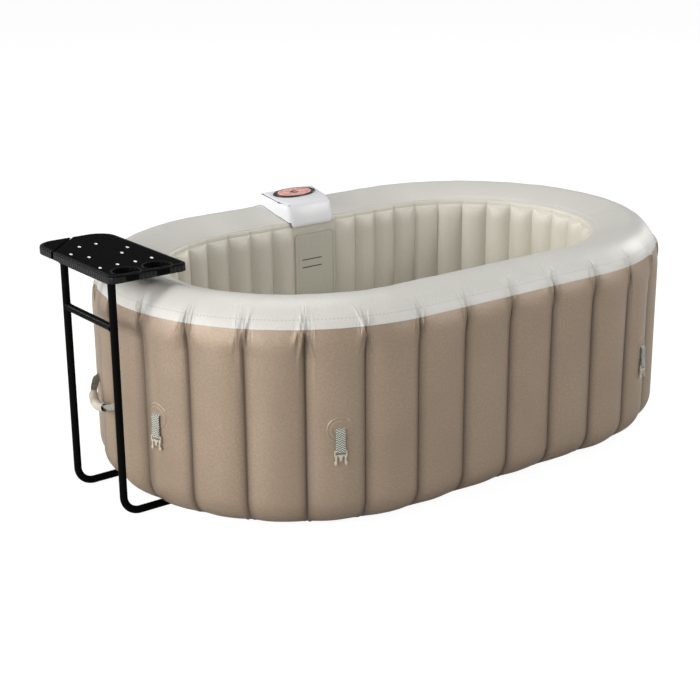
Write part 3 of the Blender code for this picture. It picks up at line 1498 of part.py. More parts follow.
def loop_width(row):
    """The band's width: a narrow tip at each weld, full beside the grip and folded narrower inside it."""
    from_end = min(row, LOOP_STEPS - row)
    if from_end == 0:
        return HANDLE_TIP_WIDTH
    if from_end < LOOP_STEPS * (1 - GRIP_SPAN_SHARE) / 2 - 1:
        return HANDLE_STRAP_WIDTH
    return HANDLE_STRAP_WAIST


def loop_mesh(chord):
    """A carry handle's strap: a band whose width is square to the plane of its loop."""
    across = Vector((0, math.sin(HANDLE_DROOP), math.cos(HANDLE_DROOP)))

    def place(column, row):
        side = (2 * column - 1) * loop_width(row) / 2
        return loop_point(row / LOOP_STEPS, chord, HANDLE_REACH) + across * side

    return grid_mesh(1, LOOP_STEPS, place, False)


def grip_mesh(chord, radius, overrun):
    """A round grip along the middle stretch of the loop."""
    first = (1 - GRIP_SPAN_SHARE) / 2
    points = []
    for step in range(LOOP_STEPS // 2 + 1):
        share = first + GRIP_SPAN_SHARE * step / (LOOP_STEPS // 2)
        points.append(loop_point(share, chord, HANDLE_REACH))
    if overrun:
        points.insert(0, points[0] + (points[0] - points[1]).normalized() * overrun)
        points.append(points[-1] + (points[-1] - points[-2]).normalized() * overrun)
    return tube_mesh(points, radius)


def make_handles():
    """The carry handle on each end: a strap loop and the tubular grip round its middle."""
    for name, angles in HANDLE_ANGLES.items():
        place, chord = handle_frame(angles)
        loop = add_piece(f"handle_loop_{name}", loop_mesh(chord), webbing())
        thicken(loop, HANDLE_STRAP_THICK, 0)
        loop.matrix_world = place
        grip = add_piece(f"handle_grip_{name}", grip_mesh(chord, GRIP_RADIUS, 0.0), cream_plastic())
        grip.matrix_world = place
        hollow = grip_mesh(chord, GRIP_RADIUS - GRIP_WALL, OVERRUN)
        bore = add_tool(f"handle_grip_{name}_cutter", hollow)
        bore.matrix_world = place
        combine(grip, bore, "DIFFERENCE")


def tray_outline(margin):
    """The tray's outline, drawn in by a margin: its far corners are rounder than the near ones."""
    low = (TRAY_OUTER_X + margin, TRAY_NEAR_Y + margin)
    high = (TRAY_INNER_X - margin, TRAY_FAR_Y - margin)
    near, far = TRAY_CORNER - margin, TRAY_FAR_CORNER - margin
    radii = (near, near, far, far)
    return rounded_outline(low, high, radii, CORNER_STEPS)


def cup_centres():
    y = TRAY_NEAR_Y + CUP_INSET_Y
    return [(TRAY_OUTER_X + inset, y) for inset in CUP_INSET_X]


def groove_block(width, low, high, overrun):
    """A bar across the tray's far outer corner, along the groove."""
    start = Vector((TRAY_OUTER_X, GROOVE_OUTER_Y))
    end = Vector((GROOVE_FAR_X, TRAY_FAR_Y))
    run = (end - start).normalized()
    side = Vector((-run.y, run.x)) * width / 2
    start -= run * overrun
    end += run * overrun
    outline = [start - side, end - side, end + side, start + side]
    return plate_mesh([[(point.x, point.y) for point in outline]], low, high)


def slot_boxes():
    """The drain slots right through the tray's field."""
    boxes = []
    for share_x, share_y in SLOT_SHARES:
        x = TRAY_OUTER_X + (TRAY_INNER_X - TRAY_OUTER_X) * share_x
        y = TRAY_NEAR_Y + (TRAY_FAR_Y - TRAY_NEAR_Y) * share_y
        low = (x - SLOT_SIZE[0] / 2, y - SLOT_SIZE[1] / 2, TRAY_TOP - TRAY_DEPTH)
        high = (x + SLOT_SIZE[0] / 2, y + SLOT_SIZE[1] / 2, TRAY_TOP + OVERRUN)
        boxes.append(box_mesh(low, high))
    return boxes


def screw_places():
    return [(SCREW_X, NEAR_LEG_Y), (SCREW_X, FAR_LEG_Y)]


def tray_bottom():
    return TRAY_TOP - TRAY_DEPTH


def make_tray():
    """The black tray: field, skirt, two cup recesses, a telephone's groove, drain slots and screw bosses."""
    low = tray_bottom()
    tray = add_piece("drink_tray", plate_mesh([tray_outline(0.0)], low, TRAY_TOP), black_plastic())
    cut(tray, plate_mesh([tray_outline(TRAY_WALL)], low - OVERRUN, TRAY_TOP - TRAY_FIELD))
    top = TRAY_TOP - TRAY_FIELD / 2
    cup_low = TRAY_TOP - CUP_DEPTH - CUP_WALL
    for x, y in cup_centres():
        join(tray, drum_mesh((x, y, cup_low), (0, 0, 1), top - cup_low, CUP_RADIUS + CUP_WALL))
    guide = groove_block(GROOVE_WIDTH + 2 * GROOVE_WALL, low, top, 0.0)
    block = add_tool("groove_guide", guide)
    trim = plate_mesh([tray_outline(TRAY_WALL / 2)], low, top + OVERRUN)
    combine(block, add_tool("groove_trim", trim), "INTERSECT")
    combine(tray, block, "UNION")
    boss_low = bracket_top() + GAP
    for x, y in screw_places():
        join(tray, drum_mesh((x, y, boss_low), (0, 0, 1), top - boss_low, BOSS_RADIUS))
    for x, y in cup_centres():
        cut(tray, drum_mesh((x, y, TRAY_TOP - CUP_DEPTH), (0, 0, 1), CUP_DEPTH + OVERRUN, CUP_RADIUS))
    cut(tray, groove_block(GROOVE_WIDTH, low + GROOVE_WALL, TRAY_TOP + OVERRUN, 2 * OVERRUN))
    cut(tray, several(slot_boxes()))
    screws = []
    depth = SCREW_LENGTH - BRACKET_THICK - GAP + OVERRUN
    for x, y in screw_places():
        screws.append(drum_mesh((x, y, boss_low - OVERRUN), (0, 0, 1), depth, SCREW_RADIUS + GAP))
    cut(tray, several(screws))


def bracket_top():
    return tray_bottom() - GAP


def bracket_low():
    return bracket_top() - BRACKET_THICK


def leg_path(y):
    """A stand frame's middle line: along the floor, round the bend and up to the bracket."""
    centre = (LEG_X + BEND_RADIUS, y, TUBE_RADIUS + BEND_RADIUS)
    bend = arc_points(centre, (0, 0, -BEND_RADIUS), (-BEND_RADIUS, 0, 0), 0, math.pi / 2, BEND_STEPS)
    return [(RAIL_END_X, y, TUBE_RADIUS), *bend, (LEG_X, y, bracket_low() - GAP)]


def make_stand():
    """The two bent tube frames, the crossbar between their legs, the tray's bracket and its screws."""
    for name, y in (("near", NEAR_LEG_Y), ("far", FAR_LEG_Y)):
        hose(f"stand_frame_{name}", leg_path(y), black_steel(), TUBE_RADIUS, TUBE_RADIUS - TUBE_WALL)
    rod = drum_mesh((LEG_X, NEAR_LEG_Y, CROSSBAR_Z), (0, 1, 0), FAR_LEG_Y - NEAR_LEG_Y, TUBE_RADIUS)
    bar = add_piece("stand_crossbar", rod, black_steel())
    low = CROSSBAR_Z - BEND_RADIUS
    copes = []
    for y in (NEAR_LEG_Y, FAR_LEG_Y):
        copes.append(drum_mesh((LEG_X, y, low), (0, 0, 1), 2 * BEND_RADIUS, TUBE_RADIUS + GAP))
    cut(bar, several(copes))
    make_bracket()
    for name, (x, y) in zip(("near", "far"), screw_places()):
        head_low = bracket_low() - GAP - SCREW_HEAD
        head = drum_mesh((x, y, head_low), (0, 0, 1), SCREW_HEAD, SCREW_HEAD_RADIUS)
        screw = add_piece(f"tray_screw_{name}", head, steel())
        join(screw, drum_mesh((x, y, head_low + SCREW_HEAD / 2), (0, 0, 1), SCREW_LENGTH, SCREW_RADIUS))


def make_bracket():
    """The flat steel bracket under the tray: one bar over the legs and an arm along each side."""
    low_x = TRAY_OUTER_X + GAP
    edge_x = low_x + BRACKET_EDGE
    near = NEAR_LEG_Y
    far = FAR_LEG_Y
    half = BRACKET_ARM / 2
    outline = [
        (low_x, near - half),
        (BRACKET_END_X, near - half),
        (BRACKET_END_X, near + half),
        (edge_x, near + half),
        (edge_x, far - half),
        (BRACKET_END_X, far - half),
        (BRACKET_END_X, far + half),
        (low_x, far + half),
    ]
    bracket = add_piece("tray_bracket", plate_mesh([outline], bracket_low(), bracket_top()), black_steel())
    holes = []
    for x, y in screw_places():
        start = (x, y, bracket_low() - OVERRUN)
        holes.append(drum_mesh(start, (0, 0, 1), BRACKET_THICK + 2 * OVERRUN, SCREW_RADIUS + GAP))
    cut(bracket, several(holes))


def make_tub():
    """The inflated tub itself."""
    make_outer_wall()
    make_rim()
    make_inner_wall()
    make_floor()
    make_base()
    make_web()
    make_level_panel()
    make_bubble_ring()


def make_control_box():
    """The control box on the rim, with its keypad."""
    make_control_housing()
    make_keypad_frame()
    make_keys()


def make_equipment():
    """The pump, heater and blower in their case, their pipes and the fittings they serve."""
    make_case()
    make_cover()
    make_gland()
    make_pump()
    make_impeller()
    make_heater()
    make_blower()
    make_fan()
    make_hoses()
    make_air_pipe()
    make_fittings()
    make_filter()
    make_valves()


def main():
    """Builds every piece."""
    clear_scene()
    make_tub()
    make_control_box()
    make_equipment()
    make_straps()
    make_handles()
    make_tray()
    make_stand()
    bpy.context.view_layer.update()


main()
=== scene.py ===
"""The dressed model of an inflatable hot tub with a drink tray on a stand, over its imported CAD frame."""

import json
import logging
import math
from dataclasses import dataclass, field
from enum import Enum
from typing import Optional, Sequence

import bmesh
import bpy
import numpy as np
from mathutils import Matrix, Vector

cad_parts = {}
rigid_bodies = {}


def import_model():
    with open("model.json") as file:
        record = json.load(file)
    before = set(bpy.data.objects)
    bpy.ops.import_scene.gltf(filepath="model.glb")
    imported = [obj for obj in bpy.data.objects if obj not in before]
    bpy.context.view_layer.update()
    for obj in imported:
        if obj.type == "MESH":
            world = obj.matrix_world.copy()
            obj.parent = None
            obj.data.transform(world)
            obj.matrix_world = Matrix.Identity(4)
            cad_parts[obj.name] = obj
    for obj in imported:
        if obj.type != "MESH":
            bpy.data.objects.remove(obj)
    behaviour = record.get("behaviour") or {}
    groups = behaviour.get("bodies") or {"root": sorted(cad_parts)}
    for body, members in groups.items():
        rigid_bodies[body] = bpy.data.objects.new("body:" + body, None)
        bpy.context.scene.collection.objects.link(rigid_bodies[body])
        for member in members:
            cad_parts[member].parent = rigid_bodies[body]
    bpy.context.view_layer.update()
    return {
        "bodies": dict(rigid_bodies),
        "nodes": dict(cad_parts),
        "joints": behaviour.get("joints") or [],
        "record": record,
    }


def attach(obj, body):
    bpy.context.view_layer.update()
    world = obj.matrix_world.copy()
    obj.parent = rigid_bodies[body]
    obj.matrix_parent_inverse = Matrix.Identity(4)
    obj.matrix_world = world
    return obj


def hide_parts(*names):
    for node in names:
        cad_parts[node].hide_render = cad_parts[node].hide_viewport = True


LOG = logging.getLogger("hot_tub")
Array = np.ndarray
Numbers = Sequence[float]
Piece = bpy.types.Object
Socket = bpy.types.NodeSocket
Material = bpy.types.Material
UP = np.array([0.0, 0.0, 1.0])
DOUBLED = 0.00002
SOLID = (True, (True, True))
TURN = 2 * math.pi
QUARTER = math.pi / 2
SKIN_GAP = 0.0006
SEED = 20


class Slot(str, Enum):
    """The record's material slots."""

    TAN = "tan_skin"
    CREAM = "cream_skin"
    BASIN = "basin_skin"
    WHITE = "white_plastic"
    CREAM_PLASTIC = "cream_plastic"
    BLACK = "black_plastic"
    BLACK_STEEL = "black_steel"
    GREY = "grey_plastic"
    WEBBING = "webbing"
    KEY = "red_key"
    GLASS = "dark_glass"
    STEEL = "steel"
    RUBBER = "rubber"
    BOARD = "board_green"


class Side(Enum):
    """The two ends that carry a handle."""

    LEFT = "left"
    RIGHT = "right"


# The materials


class Paint:
    """One node material in the making: its nodes, its links and its shader."""

    def __init__(self, name: str) -> None:
        """Starts a material with its shader alone."""
        self.material = bpy.data.materials.new(name)
        self.material.use_nodes = True
        self.tree = self.material.node_tree
        self.shader = self.tree.nodes["Principled BSDF"]

    def add(self, kind: str, **settings: object) -> bpy.types.Node:
        """Adds a node.

        Args:
            kind: the node's type name after ShaderNode.
            settings: its properties by name.
        Returns:
            The new node.
        """
        node = self.tree.nodes.new("ShaderNode" + kind)
        for key, value in settings.items():
            setattr(node, key, value)
        return node

    def feed(self, socket: Socket, value: object) -> None:
        """Puts a number, a colour or another node's output into a socket."""
        if isinstance(value, Socket):
            self.tree.links.new(value, socket)
        else:
            socket.default_value = value

    def place(self, on_map: bool, scale: Numbers = (1, 1, 1), turn: float = 0.0) -> Socket:
        """The pattern's place in metres, from the piece's own map or object space, scaled and turned."""
        source = self.add("TexCoord").outputs["UV" if on_map else "Object"]
        mapping = self.add("Mapping")
        self.feed(mapping.inputs["Vector"], source)
        self.feed(mapping.inputs["Scale"], scale)
        self.feed(mapping.inputs["Rotation"], (0.0, 0.0, turn))
        return mapping.outputs["Vector"]

    def noise(self, where: Socket, scale: float, detail: float = 2.0) -> Socket:
        """A cloudy value between 0 and 1."""
        node = self.add("TexNoise")
        self.feed(node.inputs["Vector"], where)
        self.feed(node.inputs["Scale"], scale)
        self.feed(node.inputs["Detail"], detail)
        return node.outputs["Fac"]

    def cells(self, where: Socket, scale: float) -> Socket:
        """The distance to the nearest edge of scattered cells, as in grained leather."""
        node = self.add("TexVoronoi", feature="DISTANCE_TO_EDGE")
        self.feed(node.inputs["Vector"], where)
        self.feed(node.inputs["Scale"], scale)
        return node.outputs["Distance"]

    def value(self, operation: str, first: object, second: object = 0.0) -> Socket:
        """One step of arithmetic on two values."""
        node = self.add("Math", operation=operation)
        self.feed(node.inputs[0], first)
        self.feed(node.inputs[1], second)
        return node.outputs[0]

    def span(self, value: object, low: float, high: float, to_low: float, to_high: float) -> Socket:
        """A value carried from one range to another and kept inside it."""
        node = self.add("MapRange")
        names = ("Value", "From Min", "From Max", "To Min", "To Max")
        for name, item in zip(names, (value, low, high, to_low, to_high)):
            self.feed(node.inputs[name], item)
        return node.outputs["Result"]

    def blend(self, share: object, first: object, second: object) -> Socket:
        """A colour between two colours."""
        node = self.add("Mix", data_type="RGBA")
        self.feed(node.inputs[0], share)
        self.feed(node.inputs[6], first if isinstance(first, Socket) else (*first, 1.0))
        self.feed(node.inputs[7], second if isinstance(second, Socket) else (*second, 1.0))
        return node.outputs[2]

    def bump(self, height: object, distance: float, under: Optional[object] = None) -> Socket:
        """Raises the surface by a height between 0 and 1 times a distance in metres, over another bump."""
        node = self.add("Bump")
        self.feed(node.inputs["Strength"], 1.0)
        self.feed(node.inputs["Distance"], distance)
        self.feed(node.inputs["Height"], height)
        if under is not None:
            self.feed(node.inputs["Normal"], under)
        return node.outputs["Normal"]

    def set(self, **sockets: object) -> None:
        """Fills the shader's own sockets, by name with underscores for spaces."""
        for key, value in sockets.items():
            self.feed(self.shader.inputs[key.replace("_", " ")], value)


@dataclass(frozen=True)
class Vinyl:
    """Welded coated cloth: a fine leather grain, a soft cloudy tint, brushed flecks and a satin coat;
    gathered skins also get painted shade in their seams.
    """

    name: str
    colour: tuple[float, float, float]
    shade: tuple[float, float, float]
    fleck: tuple[float, float, float]
    roughness: float = 0.42
    grain: float = 520.0
    grain_depth: float = 0.00016
    metallic: float = 0.0
    coat: float = 0.10
    on_map: bool = True
    quilt: float = 0.0
    gathered: bool = False
    seam_pitch: float = 0.16769
    seam_offset: float = -0.030
    weld_place: float = 0.6552
    stitch_place: float = 0.6822
    # painted shade in the seams: its strength and its reach to either side
    seam_shade_strength: float = 0.78
    seam_shade_reach: float = 0.030
    mottle: float = 0.55
    dash: float = 0.011
    # the darkened colour that the painted seam shade and the weld dashes blend to
    seam_shade_and_dash_tone: float = 0.30

    def seam_map(self, paint: Paint) -> tuple[Socket, Socket, Socket]:
        """The way round the tub, the way up the skin, and the distance from the nearest seam."""
        split = paint.add("SeparateXYZ")
        paint.feed(split.inputs[0], paint.place(True))
        around, along = split.outputs[0], split.outputs[1]
        shifted = paint.value("SUBTRACT", around, self.seam_offset)
        return around, along, paint.value("PINGPONG", shifted, self.seam_pitch / 2)

    def from_line(self, paint: Paint, along: Socket, line: float) -> Socket:
        """The distance from a level line, to either side."""
        return paint.value("ABSOLUTE", paint.value("SUBTRACT", along, line))

    def wrinkles(self, paint: Paint) -> Socket:
        """Fine creases beside each seam: stretched noise where seam and weld are both near."""
        _, along, off = self.seam_map(paint)
        near_seam = paint.span(off, 0.004, 0.036, 1.0, 0.0)
        near_weld = paint.span(self.from_line(paint, along, self.weld_place), 0.015, 0.075, 1.0, 0.0)
        strands = paint.noise(paint.place(True, (1.0, 0.06, 1.0)), 190.0, 3.0)
        share = paint.value("MULTIPLY", near_seam, near_weld)
        return paint.value("MULTIPLY", share, paint.span(strands, 0.35, 0.68, 0.0, 1.0))

    def seam_shade_and_weld_dashes(self, paint: Paint) -> Socket:
        """Painted shade that darkens each seam below the weld, fading out to either side, and the dark dashes
        of the rim's weld line.
        """
        around, along, off = self.seam_map(paint)
        below = paint.span(along, self.weld_place - 0.030, self.weld_place + 0.004, self.seam_shade_strength, 0.0)
        near = paint.span(off, 0.0, self.seam_shade_reach, 1.0, 0.0)
        # painted shade: the square of the seam's nearness, held below the weld
        seam = paint.value("MULTIPLY", paint.value("MULTIPLY", near, near), below)
        wave = paint.value("SINE", paint.value("MULTIPLY", around, TURN / self.dash))
        dash = paint.span(wave, 0.0, 0.4, 0.0, 0.32)
        line = paint.span(self.from_line(paint, along, self.stitch_place), 0.0008, 0.0020, 1.0, 0.0)
        return paint.value("MAXIMUM", seam, paint.value("MULTIPLY", line, dash))

    def material(self) -> Material:
        """Builds the material."""
        paint = Paint(self.name)
        where = paint.place(self.on_map)
        brushed = paint.place(self.on_map, (0.35, 1.0, 1.0))
        tint = paint.blend(
            paint.span(paint.noise(where, 5.0, 3.0), 0.35, 0.65, 0.0, 0.5), self.colour, self.shade
        )
        flecks = paint.span(paint.noise(brushed, 780.0, 1.0), 0.52, 0.78, 0.0, 0.55)
        colour = paint.blend(flecks, tint, self.fleck)
        patches = paint.span(paint.noise(where, 150.0, 2.0), 0.38, 0.62, 0.0, self.mottle)
        colour = paint.blend(patches, colour, self.shade)
        if self.gathered:
            # painted shade in the seams, with the weld line's dashes, blended towards a darkened shade colour
            colour = paint.blend(
                self.seam_shade_and_weld_dashes(paint), colour, tuple(channel * self.seam_shade_and_dash_tone for channel in self.shade)
            )
        roughness = paint.span(
            paint.noise(brushed, 300.0, 2.0), 0.3, 0.7, self.roughness - 0.05, self.roughness + 0.06
        )
        height = paint.span(paint.cells(where, self.grain), 0.0, 0.35, 0.0, 1.0)
        normal = paint.bump(paint.noise(where, 60.0, 3.0), 0.0006)
        if self.quilt > 0:
            normal = paint.bump(
                paint.span(paint.cells(where, self.quilt), 0.0, 0.25, 0.0, 1.0), 0.0015, normal
            )
        if self.gathered:
            normal = paint.bump(self.wrinkles(paint), 0.0035, normal)
        normal = paint.bump(height, self.grain_depth, normal)
        paint.set(Base_Color=colour, Roughness=roughness, Normal=normal, Metallic=self.metallic)
        paint.set(Coat_Weight=self.coat, Coat_Roughness=0.32)
        return paint.material


@dataclass(frozen=True)
class Moulded:
    """Moulded plastic or rubber: a faint spark-eroded grain, a slight tint drift and soft handling marks."""

    name: str
    colour: tuple[float, float, float]
    roughness: float = 0.35
    grain: float = 1400.0
    grain_depth: float = 0.00003
    drift: float = 0.06
    metallic: float = 0.0
    coat: float = 0.0
    shine: float = 0.5

    def material(self) -> Material:
        """Builds the material."""
        paint = Paint(self.name)
        where = paint.place(False)
        dark = tuple(channel * (1.0 - self.drift) for channel in self.colour)
        colour = paint.blend(paint.noise(where, 14.0, 3.0), dark, self.colour)
        marks = paint.noise(where, 90.0, 4.0)
        roughness = paint.span(marks, 0.3, 0.7, self.roughness - 0.04, self.roughness + 0.05)
        normal = paint.bump(paint.noise(where, self.grain, 2.0), self.grain_depth)
        paint.set(Base_Color=colour, Roughness=roughness, Normal=normal, Metallic=self.metallic)
        paint.set(Coat_Weight=self.coat, Coat_Roughness=0.15, Specular_IOR_Level=self.shine)
        return paint.material


@dataclass(frozen=True)
class Woven:
    """Webbing: twill ribs that lean one way and then the other, in two yarns."""

    name: str
    light: tuple[float, float, float]
    dark: tuple[float, float, float]
    rib: float = 0.0066
    zigzag: float = 0.0068

    def material(self) -> Material:
        """Builds the material; a rib's phase is the length plus a triangle wave of the width."""
        paint = Paint(self.name)
        split = paint.add("SeparateXYZ")
        paint.feed(split.inputs[0], paint.place(True))
        across, along = split.outputs[0], split.outputs[1]
        lean = paint.value("PINGPONG", across, self.zigzag)
        phase = paint.value("MULTIPLY", paint.value("ADD", along, lean), TURN / self.rib)
        rib = paint.span(paint.value("SINE", phase), -0.5, 0.5, 0.0, 1.0)
        thread = paint.value("SINE", paint.value("MULTIPLY", along, TURN / 0.0009))
        threads = paint.span(thread, -1.0, 1.0, 0.0, 1.0)
        speckle = paint.noise(paint.place(True), 900.0, 1.0)
        share = paint.value("MULTIPLY", rib, paint.span(speckle, 0.3, 0.6, 0.55, 1.0))
        normal = paint.bump(threads, 0.00012, paint.bump(rib, 0.0005))
        paint.set(Base_Color=paint.blend(share, self.dark, self.light), Roughness=0.85, Normal=normal)
        paint.set(Sheen_Weight=0.3)
        return paint.material


@dataclass(frozen=True)
class Glass:
    """A dark display window: smoky and glossy, with faint dust."""

    name: str
    colour: tuple[float, float, float]

    def material(self) -> Material:
        """Builds the material."""
        paint = Paint(self.name)
        where = paint.place(False)
        dust = paint.span(paint.noise(where, 700.0, 2.0), 0.6, 0.75, 0.0, 0.12)
        paint.set(Base_Color=paint.blend(dust, self.colour, (0.20, 0.18, 0.18)))
        paint.set(Roughness=paint.span(paint.noise(where, 60.0, 2.0), 0.3, 0.7, 0.06, 0.14))
        paint.set(Coat_Weight=1.0, Coat_Roughness=0.04)
        return paint.material


@dataclass(frozen=True)
class Lit:
    """Printed or lit marks: an even colour with a slight glow and grain."""

    name: str
    colour: tuple[float, float, float]
    glow: float = 0.0

    def material(self) -> Material:
        """Builds the material."""
        paint = Paint(self.name)
        speck = paint.noise(paint.place(False), 1500.0, 1.0)
        dim = tuple(channel * 0.85 for channel in self.colour)
        paint.set(Base_Color=paint.blend(speck, dim, self.colour), Roughness=0.5)
        paint.set(Emission_Color=(*self.colour, 1.0), Emission_Strength=self.glow)
        return paint.material


FINISHES = {
    Slot.TAN: Vinyl(
        "tan_vinyl", (0.366, 0.274, 0.195), (0.286, 0.213, 0.150), (0.56, 0.46, 0.35), 0.38, metallic=0.25,
        gathered=True
    ),
    Slot.CREAM: Vinyl(
        "cream_vinyl", (0.60, 0.588, 0.545), (0.545, 0.532, 0.490), (0.67, 0.66, 0.62), 0.38, gathered=True
    ),
    Slot.BASIN: Vinyl("basin_vinyl", (0.61, 0.58, 0.495), (0.55, 0.52, 0.445), (0.68, 0.65, 0.57), 0.40),
    Slot.WHITE: Moulded("white_case", (0.74, 0.74, 0.76), 0.32),
    Slot.CREAM_PLASTIC: Moulded("cream_moulding", (0.52, 0.47, 0.38), 0.38),
    Slot.BLACK: Moulded("black_resin", (0.004, 0.004, 0.004), 0.45, grain_depth=0.00005, shine=0.012),
    Slot.BLACK_STEEL: Moulded("black_powder_coat", (0.003, 0.003, 0.003), 0.34, grain=900.0, shine=0.03),
    Slot.GREY: Moulded("grey_moulding", (0.20, 0.20, 0.21), 0.45),
    Slot.WEBBING: Woven("strap_webbing", (0.60, 0.61, 0.54), (0.12, 0.12, 0.10)),
    Slot.KEY: Moulded("key_resin", (0.74, 0.27, 0.22), 0.30, coat=0.3),
    Slot.GLASS: Glass("display_glass", (0.030, 0.008, 0.008)),
    Slot.STEEL: Moulded("brushed_steel", (0.55, 0.55, 0.56), 0.28, grain=2000.0, metallic=1.0),
    Slot.RUBBER: Moulded("black_rubber", (0.03, 0.03, 0.03), 0.65, grain_depth=0.00006),
    Slot.BOARD: Moulded("board_lacquer", (0.02, 0.15, 0.06), 0.35, drift=0.3),
}
SOLID_SKINS = {
    Slot.BASIN: Vinyl(
        "floor_vinyl", (0.56, 0.54, 0.455), (0.50, 0.48, 0.405), (0.64, 0.62, 0.54), on_map=False,
        quilt=16.0
    ),
    Slot.CREAM: Vinyl(
        "pleat_paper", (0.70, 0.70, 0.68), (0.60, 0.60, 0.58), (0.8, 0.8, 0.8), 0.8, on_map=False, coat=0.0
    ),
}


class Wardrobe:
    """Every finish, built once and handed out by slot."""

    def __init__(self) -> None:
        """Starts with no material built."""
        self.built: dict[str, Material] = {}

    def finish(self, recipe: object) -> Material:
        """The recipe's material, built the first time that it is asked for."""
        if recipe.name not in self.built:
            self.built[recipe.name] = recipe.material()
        return self.built[recipe.name]

    def dress(self, piece: Piece, slot: Slot, recipe: Optional[object] = None) -> None:
        """Gives a new piece the finish of a slot, or a recipe of its own."""
        piece.data.materials.clear()
        piece.data.materials.append(self.finish(recipe or FINISHES[slot]))

    def dress_node(self, node: Piece, slot: Slot) -> None:
        """Gives a CAD node that stays a finish that reads object space."""
        material = self.finish(SOLID_SKINS.get(slot, FINISHES[slot]))
        for place in node.material_slots:
            place.material = material


WARDROBE = Wardrobe()


# Surfaces and outlines


def make_surface(
    name: str,
    rings: Array,
    wrap: bool = False,
    caps: tuple[bool, bool] = (False, False),
    chart: Optional[Array] = None,
    keep: Optional[Array] = None,
    flip: bool = False,
    sharp: float = 40.0,
) -> Piece:
    """Makes a piece from a grid of points, one row after another, with four-sided faces between them.

    Args:
        name: the piece's name.
        rings: the points, as (row, column, 3).
        wrap: whether the last column joins the first.
        caps: whether the first and last rows are closed by a flat face.
        chart: the map in metres, as (row, column, 2), with one column more where the grid wraps.
        keep: which faces stay, as (row, column).
        flip: whether the faces turn the other way.
        sharp: the angle in degrees past which an edge is drawn sharp.
    Returns:
        The piece, at the origin.
    """
    rows, columns = rings.shape[:2]
    spans = columns if wrap else columns - 1
    row, column = np.meshgrid(np.arange(rows - 1), np.arange(spans), indexing="ij")
    steps = ((0, 0), (0, 1), (1, 1), (1, 0))
    corners = np.stack([np.stack([row + down, column + over], -1) for down, over in steps], -2)
    faces = corners[..., 0] * columns + corners[..., 1] % columns
    if keep is not None:
        faces, corners = faces[keep], corners[keep]
    faces, corners = faces.reshape(-1, 4), corners.reshape(-1, 4, 2)
    if flip:
        faces, corners = faces[:, ::-1], corners[:, ::-1]
    polygons = faces.tolist()
    for wanted, start, turned in ((caps[0], 0, not flip), (caps[1], (rows - 1) * columns, flip)):
        if wanted:
            loop = list(range(start, start + columns))
            polygons.append(loop[::-1] if turned else loop)
    mesh = bpy.data.meshes.new(name)
    mesh.from_pydata(rings.reshape(-1, 3), [], polygons)
    if chart is not None:
        layer = mesh.uv_layers.new(name="metres")
        values = np.zeros((len(mesh.loops), 2), dtype=np.float32)
        flat = chart[
            np.minimum(corners[..., 0], chart.shape[0] - 1), np.minimum(corners[..., 1], chart.shape[1] - 1)
        ]
        values[: flat.shape[0] * 4] = flat.reshape(-1, 2)
        layer.data.foreach_set("uv", values.ravel())
    mesh.validate()
    mesh.shade_smooth()
    mesh.set_sharp_from_angle(angle=math.radians(sharp))
    piece = placed(name, mesh)
    drop_loose(piece)
    return piece


def placed(name: str, data: bpy.types.ID) -> Piece:
    """A new object at the origin with a mesh, a curve, a lamp or a camera."""
    piece = bpy.data.objects.new(name, data)
    bpy.context.scene.collection.objects.link(piece)
    return piece


def unit(rows: Array) -> Array:
    """Vectors brought to the length one."""
    return rows / np.linalg.norm(rows, axis=-1, keepdims=True)


def run_length(points: Array) -> Array:
    """The distance along a line of points, at each of them."""
    return np.concatenate([[0.0], np.cumsum(np.linalg.norm(np.diff(points, axis=0), axis=1))])


def drop_loose(piece: Piece) -> None:
    """Removes the points of a piece that no face uses."""
    shape = bmesh.new()
    shape.from_mesh(piece.data)
    loose = [vert for vert in shape.verts if not vert.link_faces]
    if loose:
        bmesh.ops.delete(shape, geom=loose, context="VERTS")
        shape.to_mesh(piece.data)
    shape.free()


def merge(mesh: bpy.types.Mesh) -> None:
    """Merges a mesh's doubled points, where it closes on itself, and turns its faces outward."""
    shape = bmesh.new()
    shape.from_mesh(mesh)
    bmesh.ops.remove_doubles(shape, verts=shape.verts, dist=DOUBLED)
    bmesh.ops.recalc_face_normals(shape, faces=shape.faces)
    shape.to_mesh(mesh)
    shape.free()


def path_frames(path: Array, closed: bool = False) -> tuple[Array, Array]:
    """Two directions across a path at each of its points, carried along it without twist.

    Args:
        path: the points, as (count, 3).
        closed: whether the path is a loop.
    Returns:
        The two directions, each as (count, 3).
    """
    if closed:
        tangents = np.roll(path, -1, 0) - np.roll(path, 1, 0)
    else:
        tangents = np.gradient(path, axis=0)
    tangents = unit(tangents)
    guide = UP if abs(tangents[0, 2]) < 0.9 else np.array([1.0, 0.0, 0.0])
    across = np.zeros_like(path)
    for index, tangent in enumerate(tangents):
        guide = guide - tangent * guide.dot(tangent)
        guide /= np.linalg.norm(guide)
        across[index] = guide
    return across, np.cross(tangents, across)


def tube_rings(path: Array, radius: object, sides: int = 24, closed: bool = False) -> Array:
    """Rings of a round tube: the path plus the radius times the cosine and sine of the turn across it."""
    across, up = path_frames(path, closed)
    turn = np.linspace(0.0, TURN, sides, endpoint=False)
    size = np.broadcast_to(np.asarray(radius, dtype=float), (len(path),))[:, None, None]
    ring = np.cos(turn)[None, :, None] * across[:, None] + np.sin(turn)[None, :, None] * up[:, None]
    return path[:, None] + size * ring


def arc(centre: Numbers, first: Numbers, second: Numbers, steps: int, share: float = 1.0) -> Array:
    """A quarter of an ellipse: the centre plus one arm times the cosine and another times the sine."""
    angle = np.linspace(0.0, QUARTER * share, steps)[:, None]
    return np.asarray(centre) + np.asarray(first) * np.cos(angle) + np.asarray(second) * np.sin(angle)


